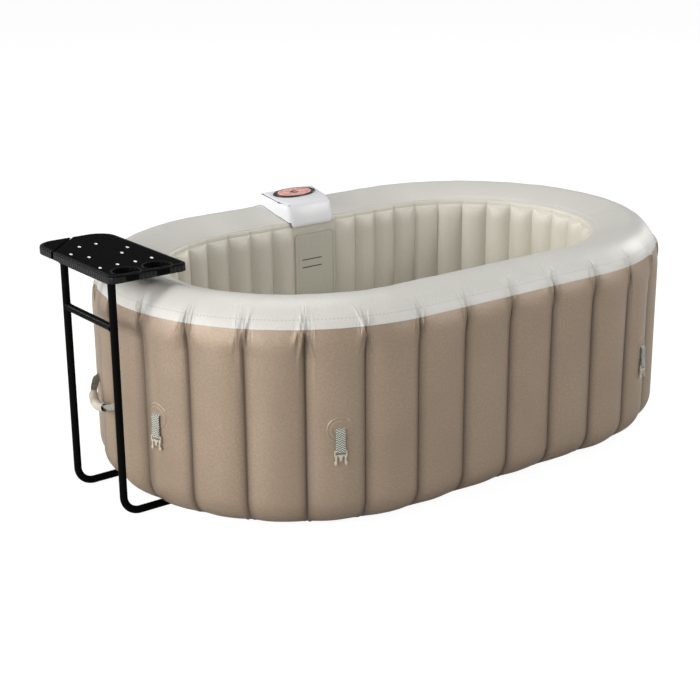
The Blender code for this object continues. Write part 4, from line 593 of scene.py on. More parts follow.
def lathe_rings(profile: Sequence[Numbers], centre: Numbers, axis: Numbers, sides: int = 48) -> Array:
    """Rings of a turned piece.

    Each is the centre plus the height along the axis plus the radius times a turning direction across it.

    Args:
        profile: pairs of radius and height along the axis.
        centre: where the axis starts.
        axis: its direction.
        sides: points in a ring.
    Returns:
        The rings, as (row, side, 3).
    """
    axis = np.asarray(axis, dtype=float)
    guide = np.array([1.0, 0.0, 0.0]) if abs(axis[0]) < 0.9 else UP
    first = guide - axis * guide.dot(axis)
    first /= np.linalg.norm(first)
    second = np.cross(axis, first)
    turn = np.linspace(0.0, TURN, sides, endpoint=False)
    table = np.asarray(profile, dtype=float)
    spoke = np.cos(turn)[:, None] * first + np.sin(turn)[:, None] * second
    return np.asarray(centre) + table[:, 1, None, None] * axis + table[:, 0, None, None] * spoke


def inset_outline(outline: Array, distance: float) -> Array:
    """An outline drawn in by a distance along the bisector of its corners; it runs counterclockwise."""
    before = unit(outline - np.roll(outline, 1, 0))
    after = unit(np.roll(outline, -1, 0) - outline)
    first = np.stack([-before[:, 1], before[:, 0]], -1)
    second = np.stack([-after[:, 1], after[:, 0]], -1)
    middle = unit(first + second)
    return outline + middle * (distance / np.maximum(np.sum(middle * first, 1), 0.35))[:, None]


def plate_rings(outline: Array, levels: Sequence[Numbers], place: Matrix) -> Array:
    """Rings of a plate with shaped edges: the outline drawn in by each level's inset, at its height.

    Args:
        outline: the plan, counterclockwise, as (count, 2).
        levels: pairs of inset and height.
        place: the frame that the plate is drawn in.
    Returns:
        The rings in the world, as (level, point, 3).
    """
    turn = np.array(place.to_3x3())
    move = np.array(place.translation)
    rings = []
    for inset, height in levels:
        flat = inset_outline(outline, inset) if inset else outline
        rings.append(np.column_stack([flat, np.full(len(flat), height)]) @ turn.T + move)
    return np.array(rings)


def rounded_outline(low: Numbers, high: Numbers, radii: Numbers, steps: int) -> Array:
    """A rectangle's outline with its own radius at each corner, from the low corner on, counterclockwise."""
    corners = [(low[0], low[1]), (high[0], low[1]), (high[0], high[1]), (low[0], high[1])]
    parts = []
    for index, (corner, radius) in enumerate(zip(corners, radii)):
        inward = np.array([1 if corner[0] == low[0] else -1, 1 if corner[1] == low[1] else -1])
        angle = math.pi + QUARTER * (index + np.linspace(0, 1, steps + 1))
        parts.append(
            np.array(corner) + inward * radius + radius * np.column_stack([np.cos(angle), np.sin(angle)])
        )
    return np.vstack(parts)


def oval(half_x: float, half_y: float, steps: int) -> Array:
    """An ellipse's outline, counterclockwise."""
    turn = np.linspace(0, TURN, steps, endpoint=False)
    return np.column_stack([half_x * np.cos(turn), half_y * np.sin(turn)])


def settle(
    piece: Piece, body: str, slot: Slot, replaced: Sequence[str] = (), recipe: object = None
) -> None:
    """Dresses a new piece, hangs it on its body and names the CAD nodes that it stands for.

    Args:
        piece: the new piece.
        body: the CAD body that it moves with.
        slot: the record's slot for its finish.
        replaced: the CAD nodes that it hides.
        recipe: a finish of its own, where it isn't the slot's.
    """
    WARDROBE.dress(piece, slot, recipe)
    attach(piece, body)
    if replaced:
        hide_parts(*replaced)
    LOG.info("%s: %d faces on %s", piece.name, len(piece.data.polygons), body)


# The tub


@dataclass(frozen=True)
class Stadium:
    """The tub's plan: straight sides along X and half-round ends."""

    half_straight: float = 0.3375

    def perimeter(self, radius: float) -> float:
        """The length round it at a radius of its ends."""
        return 4 * self.half_straight + TURN * radius

    def normals(self, station: Array, radius: float) -> tuple[Array, Array]:
        """The foot on the X axis and the plan angle of the normal at a distance round the stadium.

        Args:
            station: the distance from the middle of the near side, towards +X first.
            radius: the ends' radius that it is measured at.
        Returns:
            The foot's x and the normal's angle.
        """
        place = np.mod(station, self.perimeter(radius))
        half, end = self.half_straight, math.pi * radius
        ends = np.cumsum([half, end, 2 * half, end])
        zones = [place <= limit for limit in ends]
        foot = np.select(zones, [place, half, half - (place - ends[1]), -half], place - ends[3] - half)
        first = (place - ends[0]) / radius - QUARTER
        second = (place - ends[2]) / radius + QUARTER
        return foot, np.select(zones, [-QUARTER, first, QUARTER, second], -QUARTER)

    def points(self, station: Array, measured: float, distance: Array, z: Array) -> Array:
        """Points at a distance from the X axis along the plan normals."""
        foot, angle = self.normals(station, measured)
        x = foot + distance * np.cos(angle)
        return np.stack(np.broadcast_arrays(x, distance * np.sin(angle), z), axis=-1)


class Section:
    """A section curve of (inset, z) points, read by the distance along it."""

    def __init__(self, points: Array) -> None:
        """Measures the curve."""
        self.length = run_length(points)
        self.inset, self.z = points[:, 0], points[:, 1]

    def at(self, distance: Array) -> tuple[Array, Array]:
        """The inset and height at a distance."""
        return np.interp(distance, self.length, self.inset), np.interp(distance, self.length, self.z)

    def outward(self, distance: Array, step: float = 0.004) -> tuple[Array, Array]:
        """The outward normal, as its parts away from the tub and up, smoothed over a short step."""
        low, high = self.at(distance - step), self.at(distance + step)
        run, rise = high[0] - low[0], high[1] - low[1]
        size = np.maximum(np.hypot(run, rise), 1e-9)
        return rise / size, run / size

    def where_z(self, z: float) -> float:
        """The distance at which the curve's rising side reaches a height."""
        crest = int(np.argmax(self.z)) + 1
        return float(np.interp(z, self.z[:crest], self.length[:crest]))


def bell(value: Array, width: float) -> Array:
    """1 at zero and less on both sides: e to the power of minus the square of the value over the width."""
    return np.exp(-((value / width) ** 2))


def smooth_step(value: Array, low: float, high: float) -> Array:
    """0 below low, 1 above high, and an S curve between."""
    share = np.clip((value - low) / (high - low), 0.0, 1.0)
    return share * share * (3 - 2 * share)


@dataclass
class Puckers:
    """Small gathers where welded seams meet: ridges across the weld, beside each seam."""

    seams: Array
    length: float
    strength: Array
    seed: int
    count: int = 4
    spread: float = 0.020
    width: tuple[float, float] = (0.0026, 0.0062)
    height: tuple[float, float] = (0.0008, 0.0026)
    up: tuple[float, float] = (0.018, 0.050)
    down: tuple[float, float] = (0.030, 0.100)
    lean: float = 0.35

    def field(self, station: Array, arc_distance: Array) -> Array:
        """The height of all the ridges.

        Each is a bell across the station times a bell along the section.

        Args:
            station: distances round the tub.
            arc_distance: distances along the section from the weld, up being positive.
        Returns:
            The height in metres.
        """
        dice = np.random.default_rng(self.seed)
        total = np.zeros(np.broadcast(station, arc_distance).shape)
        for seam, strength in zip(self.seams, self.strength):
            for _ in range(self.count):
                offset = dice.uniform(-1, 0.55) * self.spread
                width, high = dice.uniform(*self.width), dice.uniform(*self.height) * strength
                up, down = dice.uniform(*self.up), dice.uniform(*self.down)
                lean = dice.uniform(-1, 1) * self.lean
                across = station - seam - offset - lean * arc_distance
                across = np.mod(across + self.length / 2, self.length) - self.length / 2
                reach = np.where(arc_distance > 0, up, down)
                total += high * np.exp(-((across / width) ** 2) - (arc_distance / reach) ** 2)
        return total


def undulation(
    station: Array, distance: Array, length: float, height: float, seed: int, waves: int = 9
) -> Array:
    """The slight unevenness of a filled skin: a sum of sines with whole numbers of waves round the tub."""
    dice = np.random.default_rng(seed)
    total = np.zeros(np.broadcast(station, distance).shape)
    for _ in range(waves):
        round_count, along = dice.integers(5, 60), dice.uniform(-22, 22)
        total += np.sin(station * TURN * round_count / length + distance * along + dice.uniform(0, TURN))
    return total * height / waves


@dataclass
class TubSkins:
    """The tub's welded skins: the channelled tan wall, the cream rim and the pillowed basin wall."""

    plan: Stadium = field(default_factory=Stadium)
    radius: float = 0.6125
    height: float = 0.652
    foot_radius: float = 0.096
    foot_flat: float = 0.020
    shoulder: tuple[float, float] = (0.090, 0.128)
    inner: tuple[float, float] = (0.1728, 0.0958)
    inner_power: float = 1.8
    weld_angle: float = math.radians(26.0)
    inner_weld_angle: float = math.radians(54.0)
    channels: int = 31
    channel_depth: float = 0.0116
    crest_lift: float = 0.0046
    crease: tuple[float, float] = (0.0022, 0.0034)
    gather: tuple[float, float, float] = (0.0030, 0.0050, -0.0085)
    gather_reach: tuple[float, float] = (0.030, 0.085)
    seam_offset: float = -0.030
    full_top: float = 0.500
    weld_share: float = 0.34
    channel_power: float = 2.2
    top_power: float = 7.0
    lap: float = 0.006
    lap_lift: float = 0.0009
    weld_line: float = 0.027
    weld_line_depth: float = 0.00045
    weld_line_half: float = 0.0014
    weld_line_dash: float = 0.006
    basin_line: float = 0.013
    basin_line_depth: float = 0.0011
    basin_line_half: float = 0.0016
    hem: float = 0.0012
    tuck: float = 0.0022
    wall_wave: float = 0.0012
    basin_wave: float = 0.0008
    pillow_count: int = 43
    pillow_pitches: int = 45
    pillow_depth: float = 0.0175
    pillow_top: float = 0.596
    pillow_full: float = 0.545
    pillow_bottom: float = 0.055
    pillow_power: float = 2.3
    pillow_crease: tuple[float, float, float] = (0.0022, 0.006, 0.012)
    basin_drop: float = 0.018
    floor_top: float = 0.0043
    panel_x: float = 0.012
    wall_top_angle: float = math.radians(56.35)
    rail_y: tuple[float, float] = (-0.105, 0.168)
    rail_end: float = -0.8375
    rail_clear: float = 0.0128
    rail_high: float = 0.0238
    flange_y: float = 0.6108
    case_low: tuple[float, float] = (-0.1445, 0.1205)
    case_high: tuple[float, float] = (0.1445, 0.4845)
    flange_margin: float = 0.020
    valve_x: float = -0.3054
    valve_z: tuple[float, float] = (0.150, 0.440)
    valve_flange: float = 0.034
    valve_hole: float = 0.018

    def __post_init__(self) -> None:
        """Works out the sections and the seams' places."""
        reach, rise = self.shoulder
        foot = np.linspace(0, QUARTER, 40)
        rows = [(self.foot_radius + self.foot_flat, 0.0)]
        rows += list(zip(self.foot_radius * (1 - np.sin(foot)), self.foot_radius * (1 - np.cos(foot))))
        side = np.linspace(0, QUARTER, 120)
        rows += list(zip(reach * (1 - np.cos(side)), self.height - rise + rise * np.sin(side)))
        slope = np.linspace(0, self.inner_weld_angle, 80)[1:]
        rows += list(zip(*self.inner_slope(slope)))
        self.section = Section(np.array(rows))
        self.weld = self.section.where_z(self.height - rise + rise * math.sin(self.weld_angle))
        self.length = self.plan.perimeter(self.radius)
        self.pitch = self.length / self.channels
        self.seams = self.seam_offset + self.pitch * np.arange(self.channels)
        foot_x, angle = self.plan.normals(self.seams, self.radius)
        round_end = (np.abs(foot_x) >= self.plan.half_straight - 1e-9) & (np.abs(np.cos(angle)) > 0.05)
        self.top_puckers = Puckers(self.seams, self.length, np.where(round_end, 1.5, 1.0), SEED, count=6)
        self.foot_puckers = Puckers(
            self.seams, self.length, np.where(round_end, 1.0, 0.6), SEED + 1,
            up=(0.02, 0.06), down=(0.02, 0.03), height=(0.0006, 0.0015),
        )
        self.basin_inset = float(self.inner_slope(self.wall_top_angle)[0])
        self.basin_radius = self.radius - self.basin_inset
        self.basin_length = self.plan.perimeter(self.basin_radius)
        self.pillow_pitch = self.basin_length / self.pillow_pitches
        self.pillow_start = self.basin_length / 2 - self.panel_x + self.pillow_pitch

    def inner_slope(self, angle: Array) -> tuple[Array, Array]:
        """The rim's slope towards the basin: a power of the sine inwards, and the cosine down."""
        inset = self.shoulder[0] + self.inner[0] * np.sin(angle) ** self.inner_power
        return inset, self.height - self.inner[1] * (1 - np.cos(angle))

    def channel_groove(self, station: Array, distance: Array) -> Array:
        """How far a seam draws the skin in.

        The depth falls from full on the wall to a share at the weld and to nothing on the rim. Across a
        channel it is a power of the distance from the channel's middle, sharper towards the weld, with a
        narrow bell for the crease, less a parabola that lifts the crest.

        Args:
            station: distances round the tub.
            distance: distances along the section.
        Returns:
            The depth in metres.
        """
        share = np.mod(station - self.seam_offset, self.pitch) / self.pitch
        across = np.abs(2 * share - 1)
        high = self.section.where_z(self.full_top)
        to_weld = smooth_step(distance, high, self.weld)
        past = smooth_step(distance, self.weld, self.weld + 0.060)
        foot = np.sin(
            np.clip(distance / (self.foot_radius * QUARTER + self.foot_flat), 0, 1) * QUARTER
        ) ** 2.4
        fade = foot * (1 - (1 - self.weld_share) * to_weld) * (1 - past)
        power = self.channel_power + (self.top_power - self.channel_power) * to_weld
        beside = np.minimum(share, 1 - share) * self.pitch
        pinch = self.crease[0] * bell(beside, self.crease[1])
        lift = self.crest_lift * (1 - across**2)
        return (self.channel_depth * across**power + pinch - lift) * fade

    def gathers(self, station: Array, distance: Array) -> Array:
        """The fold beside each seam: a bell across times a bell along, wider below the weld than above."""
        height, width, offset = self.gather
        beside = np.mod(station - self.seam_offset - offset + self.pitch / 2, self.pitch) - self.pitch / 2
        away = distance - self.weld
        reach = np.where(away > 0, *self.gather_reach)
        return height * np.exp(-((beside / width) ** 2) - (away / reach) ** 2)

    def outer_points(self, station: Array, distance: Array, lift: float = 0.0) -> Array:
        """Points of the outside of the tub.

        Each is the section's point moved along its normal by the lift, less the seam's groove, plus the
        puckers and the skin's unevenness.

        Args:
            station: distances round the tub.
            distance: distances along the section.
            lift: how far the points stand out.
        Returns:
            The points, let in behind the case's flange and the valves, and lifted over the rails.
        """
        inset, z = self.section.at(distance)
        out, up = self.section.outward(distance)
        push = lift - self.channel_groove(station, distance)
        push = push + self.top_puckers.field(
            station, distance - self.weld
        ) + self.gathers(station, distance)
        push = push + self.foot_puckers.field(station, distance - 0.06) * smooth_step(distance, 0.01, 0.05)
        push = push + undulation(
            station, distance, self.length, self.wall_wave, SEED + 2
        ) * smooth_step(distance, 0.02, 0.08)
        points = self.plan.points(station, self.radius, self.radius - inset + push * out, z + push * up)
        return self.lift_over_rails(self.let_in(points))

    def let_in(self, points: Array) -> Array:
        """Holds the far wall behind the equipment case's flange and the valves' flanges."""
        x, y, z = points[..., 0], points[..., 1], points[..., 2]
        margin = self.flange_margin
        beside = np.maximum(np.abs(x) - self.case_high[0] - margin, 0)
        above = np.maximum(np.maximum(z - self.case_high[1] - margin, self.case_low[1] - margin - z), 0)
        away = np.hypot(beside, above)
        for height in self.valve_z:
            away = np.minimum(
                away, np.maximum(np.hypot(x - self.valve_x, z - height) - self.valve_flange, 0)
            )
        limit = self.flange_y + smooth_step(away, 0.0, 0.03) * 0.02
        points[..., 1] = np.where(y > 0, np.minimum(y, limit), y)
        return points

    def lift_over_rails(self, points: Array) -> Array:
        """Draws the foot up over the stand's two rails, as the loose cloth lies over them."""
        x, y, z = points[..., 0], points[..., 1], points[..., 2]
        outside = smooth_step(-x, -self.rail_end - 0.003, -self.rail_end + 0.0005)
        for rail in self.rail_y:
            over = 1 - smooth_step(np.abs(y - rail), self.rail_clear, self.rail_clear + 0.014)
            z = np.maximum(z, self.rail_high * over * outside)
        points[..., 2] = z
        return points

    def channel_stations(self) -> Array:
        """Stations with close columns beside the seams and over the rails, and wide ones between."""
        near = np.linspace(0, 0.17, 16)
        middle = np.linspace(0.17, 0.83, 13)[1:-1]
        shares = np.concatenate([near, middle, 1 - near[::-1][:-1]])
        stations = (self.seams[:, None] + self.pitch * shares[None, :]).ravel()
        extra = []
        for rail in self.rail_y:
            angle = math.pi - math.asin(rail / (self.radius - self.foot_radius))
            middle_station = (
                self.plan.half_straight * 3 + math.pi * self.radius + (angle - QUARTER) * self.radius
            )
            extra.append(middle_station + np.linspace(-0.036, 0.036, 25))
        stations = np.unique(np.round(np.concatenate([stations, *extra]), 6))
        return stations[np.concatenate([np.diff(stations) > 0.0006, [True]])]

    def chart(self, stations: Array, distances: Array, length: float) -> Array:
        """The map in metres of a grid that wraps: station by distance."""
        around = np.concatenate([stations, [stations[0] + length]])
        return np.stack(np.broadcast_arrays(around[None, :], distances[:, None]), -1)

    def make_wall(self) -> Piece:
        """The tan wall, from the base to just under the rim's lap, open where the case and valves are."""
        stations = self.channel_stations()
        full = self.section.where_z(self.full_top)
        low = self.foot_flat + self.foot_radius * QUARTER
        rows = [np.linspace(0, self.foot_flat, 5), np.linspace(self.foot_flat, low, 15)[1:]]
        rows += [np.linspace(low, full, 7)[1:], np.linspace(full, self.weld + self.lap, 27)[1:]]
        distances = np.concatenate(rows)
        points = self.outer_points(stations[None, :], distances[:, None])
        middle = (points[:-1] + points[1:]) / 2
        middle = (middle + np.roll(middle, -1, 1)) / 2
        inside = (np.abs(middle[..., 0]) < self.case_high[0]) & (middle[..., 1] > 0)
        inside &= (middle[..., 2] > self.case_low[1]) & (middle[..., 2] < self.case_high[1])
        for height in self.valve_z:
            away = np.hypot(middle[..., 0] - self.valve_x, middle[..., 2] - height)
            inside |= (away < self.valve_hole) & (middle[..., 1] > 0)
        chart = self.chart(stations, distances, self.length)
        return make_surface("tan_wall_skin", points, True, chart=chart, keep=~inside)

    def make_rim(self) -> Piece:
        """The cream rim with its lapped lower edge, its faint weld line and the line at the basin's weld."""
        stations = self.channel_stations()
        end = self.section.length[-1]
        fine = np.linspace(self.weld, self.weld + 0.070, 36)
        line = self.weld + self.weld_line
        marks = np.array([-0.0030, -0.0015, 0.0, 0.0015, 0.0030])
        inner_line = end - self.basin_line
        rows = [fine, line + marks, np.linspace(self.weld + 0.070, end - 0.020, 20)[1:], inner_line + marks]
        rows += [np.linspace(end - 0.008, end, 5)]
        distances = np.unique(np.round(np.concatenate(rows), 5))
        distances = distances[np.concatenate([[True], np.diff(distances) > 0.0007])]
        column = distances[:, None]
        dash = 0.6 + 0.4 * np.sin(stations[None, :] * TURN / self.weld_line_dash)
        groove = self.weld_line_depth * bell(column - line, self.weld_line_half) * dash
        groove = groove + self.basin_line_depth * bell(column - inner_line, self.basin_line_half)
        points = self.outer_points(stations[None, :], column, self.lap_lift)
        out, up = self.section.outward(column)
        _, angle = self.plan.normals(stations, self.radius)
        normal = np.stack(np.broadcast_arrays(out * np.cos(angle), out * np.sin(angle), up), -1)
        points = points - normal * groove[..., None]
        hem = points[0] - normal[0] * (self.lap_lift + self.hem)
        tuck = points[-1] - normal[-1] * self.tuck
        points = np.concatenate([hem[None], points, tuck[None]])
        distances = np.concatenate([[distances[0] - 0.001], distances, [distances[-1] + 0.001]])
        chart = self.chart(stations, distances, self.length)
        return make_surface("cream_rim_skin", points, True, chart=chart)

    def basin_points(self, station: Array, distance: Array, section: Section) -> Array:
        """Points of the basin's wall.

        The section's inset grows by the pillows: a power of the distance from a pillow's middle across, and a
        quarter of an ellipse up to each pillow's rounded top.

        Args:
            station: distances round the basin.
            distance: distances down the section.
            section: the wall's section, from the rim's weld down.
        Returns:
            The points.
        """
        inset, z = section.at(distance)
        order = np.mod((station - self.pillow_start) / self.pillow_pitch, self.pillow_pitches)
        share = order - np.floor(order)
        across = 1 - np.abs(2 * share - 1) ** self.pillow_power
        rise = np.clip((z - self.pillow_full) / (self.pillow_top - self.pillow_full), 0, 1)
        dome = np.sqrt(np.clip(1 - rise**2.0, 0, 1))
        foot = smooth_step(z, self.floor_top, self.pillow_bottom)
        bulge = self.pillow_depth * across * dome * foot
        bulge = np.where(order < self.pillow_count, bulge, 0.0)
        deep, wide, high = self.pillow_crease
        crease = deep * bell(np.minimum(share, 1 - share) * self.pillow_pitch, wide)
        crease = crease * bell(z - self.pillow_top, high)
        crease = np.where(order < self.pillow_count, crease, 0.0)
        waves = undulation(station, z, self.basin_length, self.basin_wave, SEED + 3) * dome
        return self.plan.points(station, self.basin_radius, self.radius - inset - bulge + crease - waves, z)

    def make_basin(self) -> Piece:
        """The basin's wall of upright pillows, flat behind the level panel."""
        inset, top_z = self.inner_slope(np.array([self.inner_weld_angle, self.wall_top_angle]))
        turn = np.linspace(0, QUARTER, 8)
        drop = self.basin_drop
        rows = np.column_stack([
            inset[0] + (inset[1] - inset[0]) * np.sin(turn), top_z[0] - drop * (1 - np.cos(turn))
        ])
        section = Section(np.vstack([rows, [(self.basin_inset, self.floor_top)]]))
        side = np.linspace(0, 0.12, 5)[:-1]
        pillow = np.concatenate([side, np.linspace(0.12, 0.88, 12), np.linspace(0.88, 1, 5)[1:-1]])
        orders = (np.arange(self.pillow_count)[:, None] + pillow[None, :]).ravel()
        spare = self.pillow_pitches - self.pillow_count
        flat = self.pillow_count + np.linspace(0, spare, 16, endpoint=False)
        stations = self.pillow_start + self.pillow_pitch * np.concatenate([orders, flat])
        end = section.length[-1]
        low = end - self.pillow_bottom
        middle = np.linspace(0.075, low, 9)[1:-1]
        distances = np.concatenate([np.linspace(0, 0.075, 34), middle, np.linspace(low, end, 9)])
        points = self.basin_points(stations[None, :], distances[:, None], section)
        chart = self.chart(stations, distances, self.basin_length)
        return make_surface("basin_wall_skin", points, True, chart=chart)

    def build(self) -> None:
        """Builds the three skins."""
        settle(self.make_wall(), "tub", Slot.TAN, ["outer_wall"])
        settle(self.make_rim(), "tub", Slot.CREAM, ["rim_top"])
        settle(self.make_basin(), "tub", Slot.BASIN, ["inner_wall"])

    def station_at(self, point: Numbers) -> float:
        """The distance round the tub of a point on one of its ends or sides."""
        x, y = point[0], point[1]
        half, end = self.plan.half_straight, math.pi * self.radius
        if abs(x) <= half:
            return x if y < 0 else half + end + half - x
        angle = math.atan2(y, x - math.copysign(half, x))
        if x > 0:
            return half + (angle + QUARTER) * self.radius
        return 3 * half + end + (np.mod(angle, TURN) - QUARTER) * self.radius


@dataclass
class LevelPanel:
    """The flat panel on the basin's far wall, with a raised weld round it and two water lines."""

    skins: TubSkins
    half_width: float = 0.0816
    bottom: float = 0.060
    top: float = 0.574
    corner: float = 0.022
    back_y: float = 0.3980
    thick: float = 0.003
    mark_heights: tuple[float, float] = (0.479, 0.4525)
    mark_size: tuple[float, float] = (0.080, 0.0034)
    mark_shift: float = -0.014

    def frame(self, out: float) -> Matrix:
        """The upright frame on the far wall, a distance in front of the panel's back."""
        return Matrix.Translation((0, self.back_y - out, 0)) @ Matrix.Rotation(QUARTER, 4, "X")

    def build(self) -> None:
        """The panel: a plate whose edge rises in a round weld and falls to a flat field."""
        x = self.skins.panel_x
        low, high = (x - self.half_width, self.bottom), (x + self.half_width, self.top)
        outline = rounded_outline(low, high, (self.corner,) * 4, 8)
        frame = self.frame(0.0)
        turn = np.linspace(0, math.pi, 9)
        bead = [(0.0, 0.0)] + [(0.004 * (1 - math.cos(a)), 0.0022 + 0.0022 * math.sin(a)) for a in turn]
        levels = bead + [(0.012, self.thick - 0.0006), (0.016, self.thick - 0.0002), (0.0195, self.thick)]
        rings = plate_rings(outline, levels, frame)
        panel = make_surface("level_panel_skin", rings, *SOLID)
        settle(panel, "tub", Slot.BASIN, ["level_panel"], SOLID_PANEL)
        for name, z in zip(("high", "low"), self.mark_heights):
            self.mark(name, z)

    def mark(self, name: str, z: float) -> None:
        """One printed water line."""
        length, width = self.mark_size
        start = self.skins.panel_x + self.mark_shift - length / 2
        outline = rounded_outline((start, z - width / 2), (start + length, z + width / 2), (0.0009,) * 4, 3)
        frame = self.frame(self.thick - 0.0002)
        rings = plate_rings(outline, [(0.0, 0.0), (0.0, 0.0004), (0.0003, 0.0005)], frame)
        settle(make_surface(f"water_line_{name}", rings, *SOLID), "tub", Slot.RUBBER, (), INK)


SOLID_PANEL = Vinyl("panel_vinyl", (0.52, 0.50, 0.42), (0.47, 0.45, 0.38), (0.60, 0.58, 0.50), on_map=False)
INK = Lit("line_ink", (0.035, 0.034, 0.032))


# The control box


@dataclass
class ControlBox:
    """The white box astride the rim, the black strip of painted shade at its foot, and its oval keypad."""

    x: float = -0.002
    tilt: float = math.radians(9.75)
    ridge_y: float = 0.405
    ridge_z: float = 0.672
    keypad_y: float = 0.492
    bevel: float = 0.0125
    bezel: tuple[float, float] = (0.083, 0.0365)
    well: tuple[float, float] = (0.066, 0.0325)
    well_floor: float = 0.0010
    key_gap: float = 0.0012
    key_begin: tuple[float, float] = (0.0145, 0.0105)
    key_count: int = 6
    key_low: float = 0.0013
    key_thick: float = 0.0026
    window: tuple[float, float] = (0.0130, 0.0090)
    window_thick: float = 0.0036
    # the gap between the shell and the rim, where the black strip of painted shade lies
    rim_gap: float = 0.0026
    wall: float = 0.003
    cutter: tuple[float, float, float, float] = (0.640, 0.370, 0.540, 0.596)

    def top(self, y: float) -> float:
        """The height of the sloping top."""
        return self.ridge_z + (y - self.ridge_y) * math.tan(self.tilt)

    def corners(self, wall: float) -> list[tuple[float, float, float]]:
        """The box's corners, drawn in by a wall thickness."""
        rows = (
            (0.385 + wall, 0.086, 0.596 - 2 * wall),
            (0.405 + wall, 0.084, self.top(0.405) - wall),
            (0.445, 0.100, self.top(0.445) - wall),
            (0.540 - wall, 0.107, self.top(0.540) - wall),
            (0.4805, 0.122, 0.540),
            (0.592 - wall, 0.128, 0.595 - 2 * wall),
        )
        return [(self.x + side * (half - wall), y, z) for y, half, z in rows for side in (-1, 1)]

    def hull(self, wall: float, bevel: float) -> Piece:
        """The convex solid round the corners, with round edges."""
        shape = bmesh.new()
        for point in self.corners(wall):
            shape.verts.new(point)
        bmesh.ops.convex_hull(shape, input=shape.verts)
        bmesh.ops.dissolve_limit(shape, angle_limit=math.radians(3), verts=shape.verts, edges=shape.edges)
        if bevel:
            settings = {"offset": bevel, "segments": 5, "profile": 0.5, "clamp_overlap": True}
            bmesh.ops.bevel(shape, geom=shape.edges[:], affect="EDGES", **settings)
        bmesh.ops.recalc_face_normals(shape, faces=shape.faces)
        return holder("box_hull", shape)

    def saddle(self, skins: TubSkins, clearance: float) -> Piece:
        """The rim's section along the far side, grown by a clearance, as a solid to cut the box with."""
        distance = np.linspace(skins.weld - 0.02, skins.section.length[-1], 40)
        inset, z = skins.section.at(distance)
        out, up = skins.section.outward(distance)
        y = skins.radius - inset + out * clearance
        z = z + up * clearance
        front = skins.basin_radius - 0.005
        back, near, deep, foot = self.cutter
        outline = [(back, deep), (back, z[0]), *zip(y, z), (front, z[-1] - 0.002)]
        outline += [(front, foot), (near, foot), (near, deep)]
        shape = bmesh.new()
        ends = [[shape.verts.new((x, a, b)) for a, b in outline] for x in (-0.3, 0.3)]
        count = len(outline)
        for index in range(count):
            nxt = (index + 1) % count
            shape.faces.new((ends[0][index], ends[0][nxt], ends[1][nxt], ends[1][index]))
        shape.faces.new(ends[0][::-1])
        shape.faces.new(ends[1])
        bmesh.ops.recalc_face_normals(shape, faces=shape.faces)
        return holder("saddle", shape)

    def shell(self, skins: TubSkins) -> Piece:
        """The white shell: the rounded hull, hollowed, and cut to the rim."""
        piece = self.hull(0.0, self.bevel)
        inner = self.hull(self.wall, 0.0)
        saddle = self.saddle(skins, self.rim_gap)
        mesh = cut_mesh(piece, [(inner, "DIFFERENCE"), (saddle, "DIFFERENCE")])
        return finished("control_box_shell", mesh, 32.0)

    def foot_shade_strip(self, skins: TubSkins) -> Piece:
        """Painted shade: a black strip in the gap between the shell and the rim, set back from the shell's
        side, for the dark line along the box's foot.
        """
        piece = self.hull(0.0002, self.bevel)
        inner = self.hull(0.0040, 0.0)
        outer = self.saddle(skins, self.rim_gap + 0.001)
        low = self.saddle(skins, SKIN_GAP + 0.0009)
        mesh = cut_mesh(piece, [(inner, "DIFFERENCE"), (outer, "INTERSECT"), (low, "DIFFERENCE")])
        return finished("control_box_shade_strip", mesh, 32.0)

    def pad_frame(self, height: float) -> Matrix:
        """The frame on the sloping top that the keypad is drawn in."""
        centre = Matrix.Translation((self.x, self.keypad_y, self.top(self.keypad_y)))
        return centre @ Matrix.Rotation(self.tilt, 4, "X") @ Matrix.Translation((0, 0, height))

    def make_bezel(self) -> Piece:
        """The black oval with a rolled edge and a sunken well."""
        outline = oval(*self.bezel, 72)
        rim_share = np.array(self.well) / np.array(self.bezel)
        place = self.pad_frame(0.0003)
        levels = [(1.0, 0.0), (1.0, 0.0024), (0.994, 0.0034), (0.985, 0.0040), (0.90, 0.0046)]
        turn, move = np.array(place.to_3x3()), np.array(place.translation)
        rings = [np.column_stack([outline * share, np.full(len(outline), z)]) for share, z in levels]
        for grow, z in ((0.0012, 0.0044), (0.0003, 0.0036), (0.0, 0.0010)):
            flat = outline * rim_share + unit(outline) * grow
            rings.append(np.column_stack([flat, np.full(len(flat), z)]))
        rings = np.array([ring @ turn.T + move for ring in rings])
        return make_surface("keypad_bezel", rings, *SOLID, sharp=50)

    def key_outline(self, index: int) -> Array:
        """One key in plan: a sector between two ovals, less half a gap at each side."""
        share = (index + 0.5) / self.key_count
        outer = np.array(self.well) - self.key_gap
        begin = np.array(self.key_begin) + self.key_gap
        parts = []
        for half, order in ((outer, 1), (begin, -1)):
            spare = self.key_gap / 2 / half[1]
            width = TURN / self.key_count - 2 * spare
            angle = TURN * share + width * np.linspace(-0.5, 0.5, 15)[::order]
            parts.append(np.column_stack([half[0] * np.cos(angle), half[1] * np.sin(angle)]))
        return np.vstack(parts)

    def make_key(self, index: int) -> Piece:
        """One key, domed a little at its edges."""
        outline = self.key_outline(index)
        low = 0.0003 + self.well_floor + self.key_low
        high = low + self.key_thick
        levels = [(0.0, low), (0.0, high - 0.0006), (0.0003, high - 0.0002), (0.0009, high)]
        rings = plate_rings(outline, levels, self.pad_frame(0.0))
        return make_surface(f"keypad_key_{index + 1}", rings, *SOLID, sharp=50)

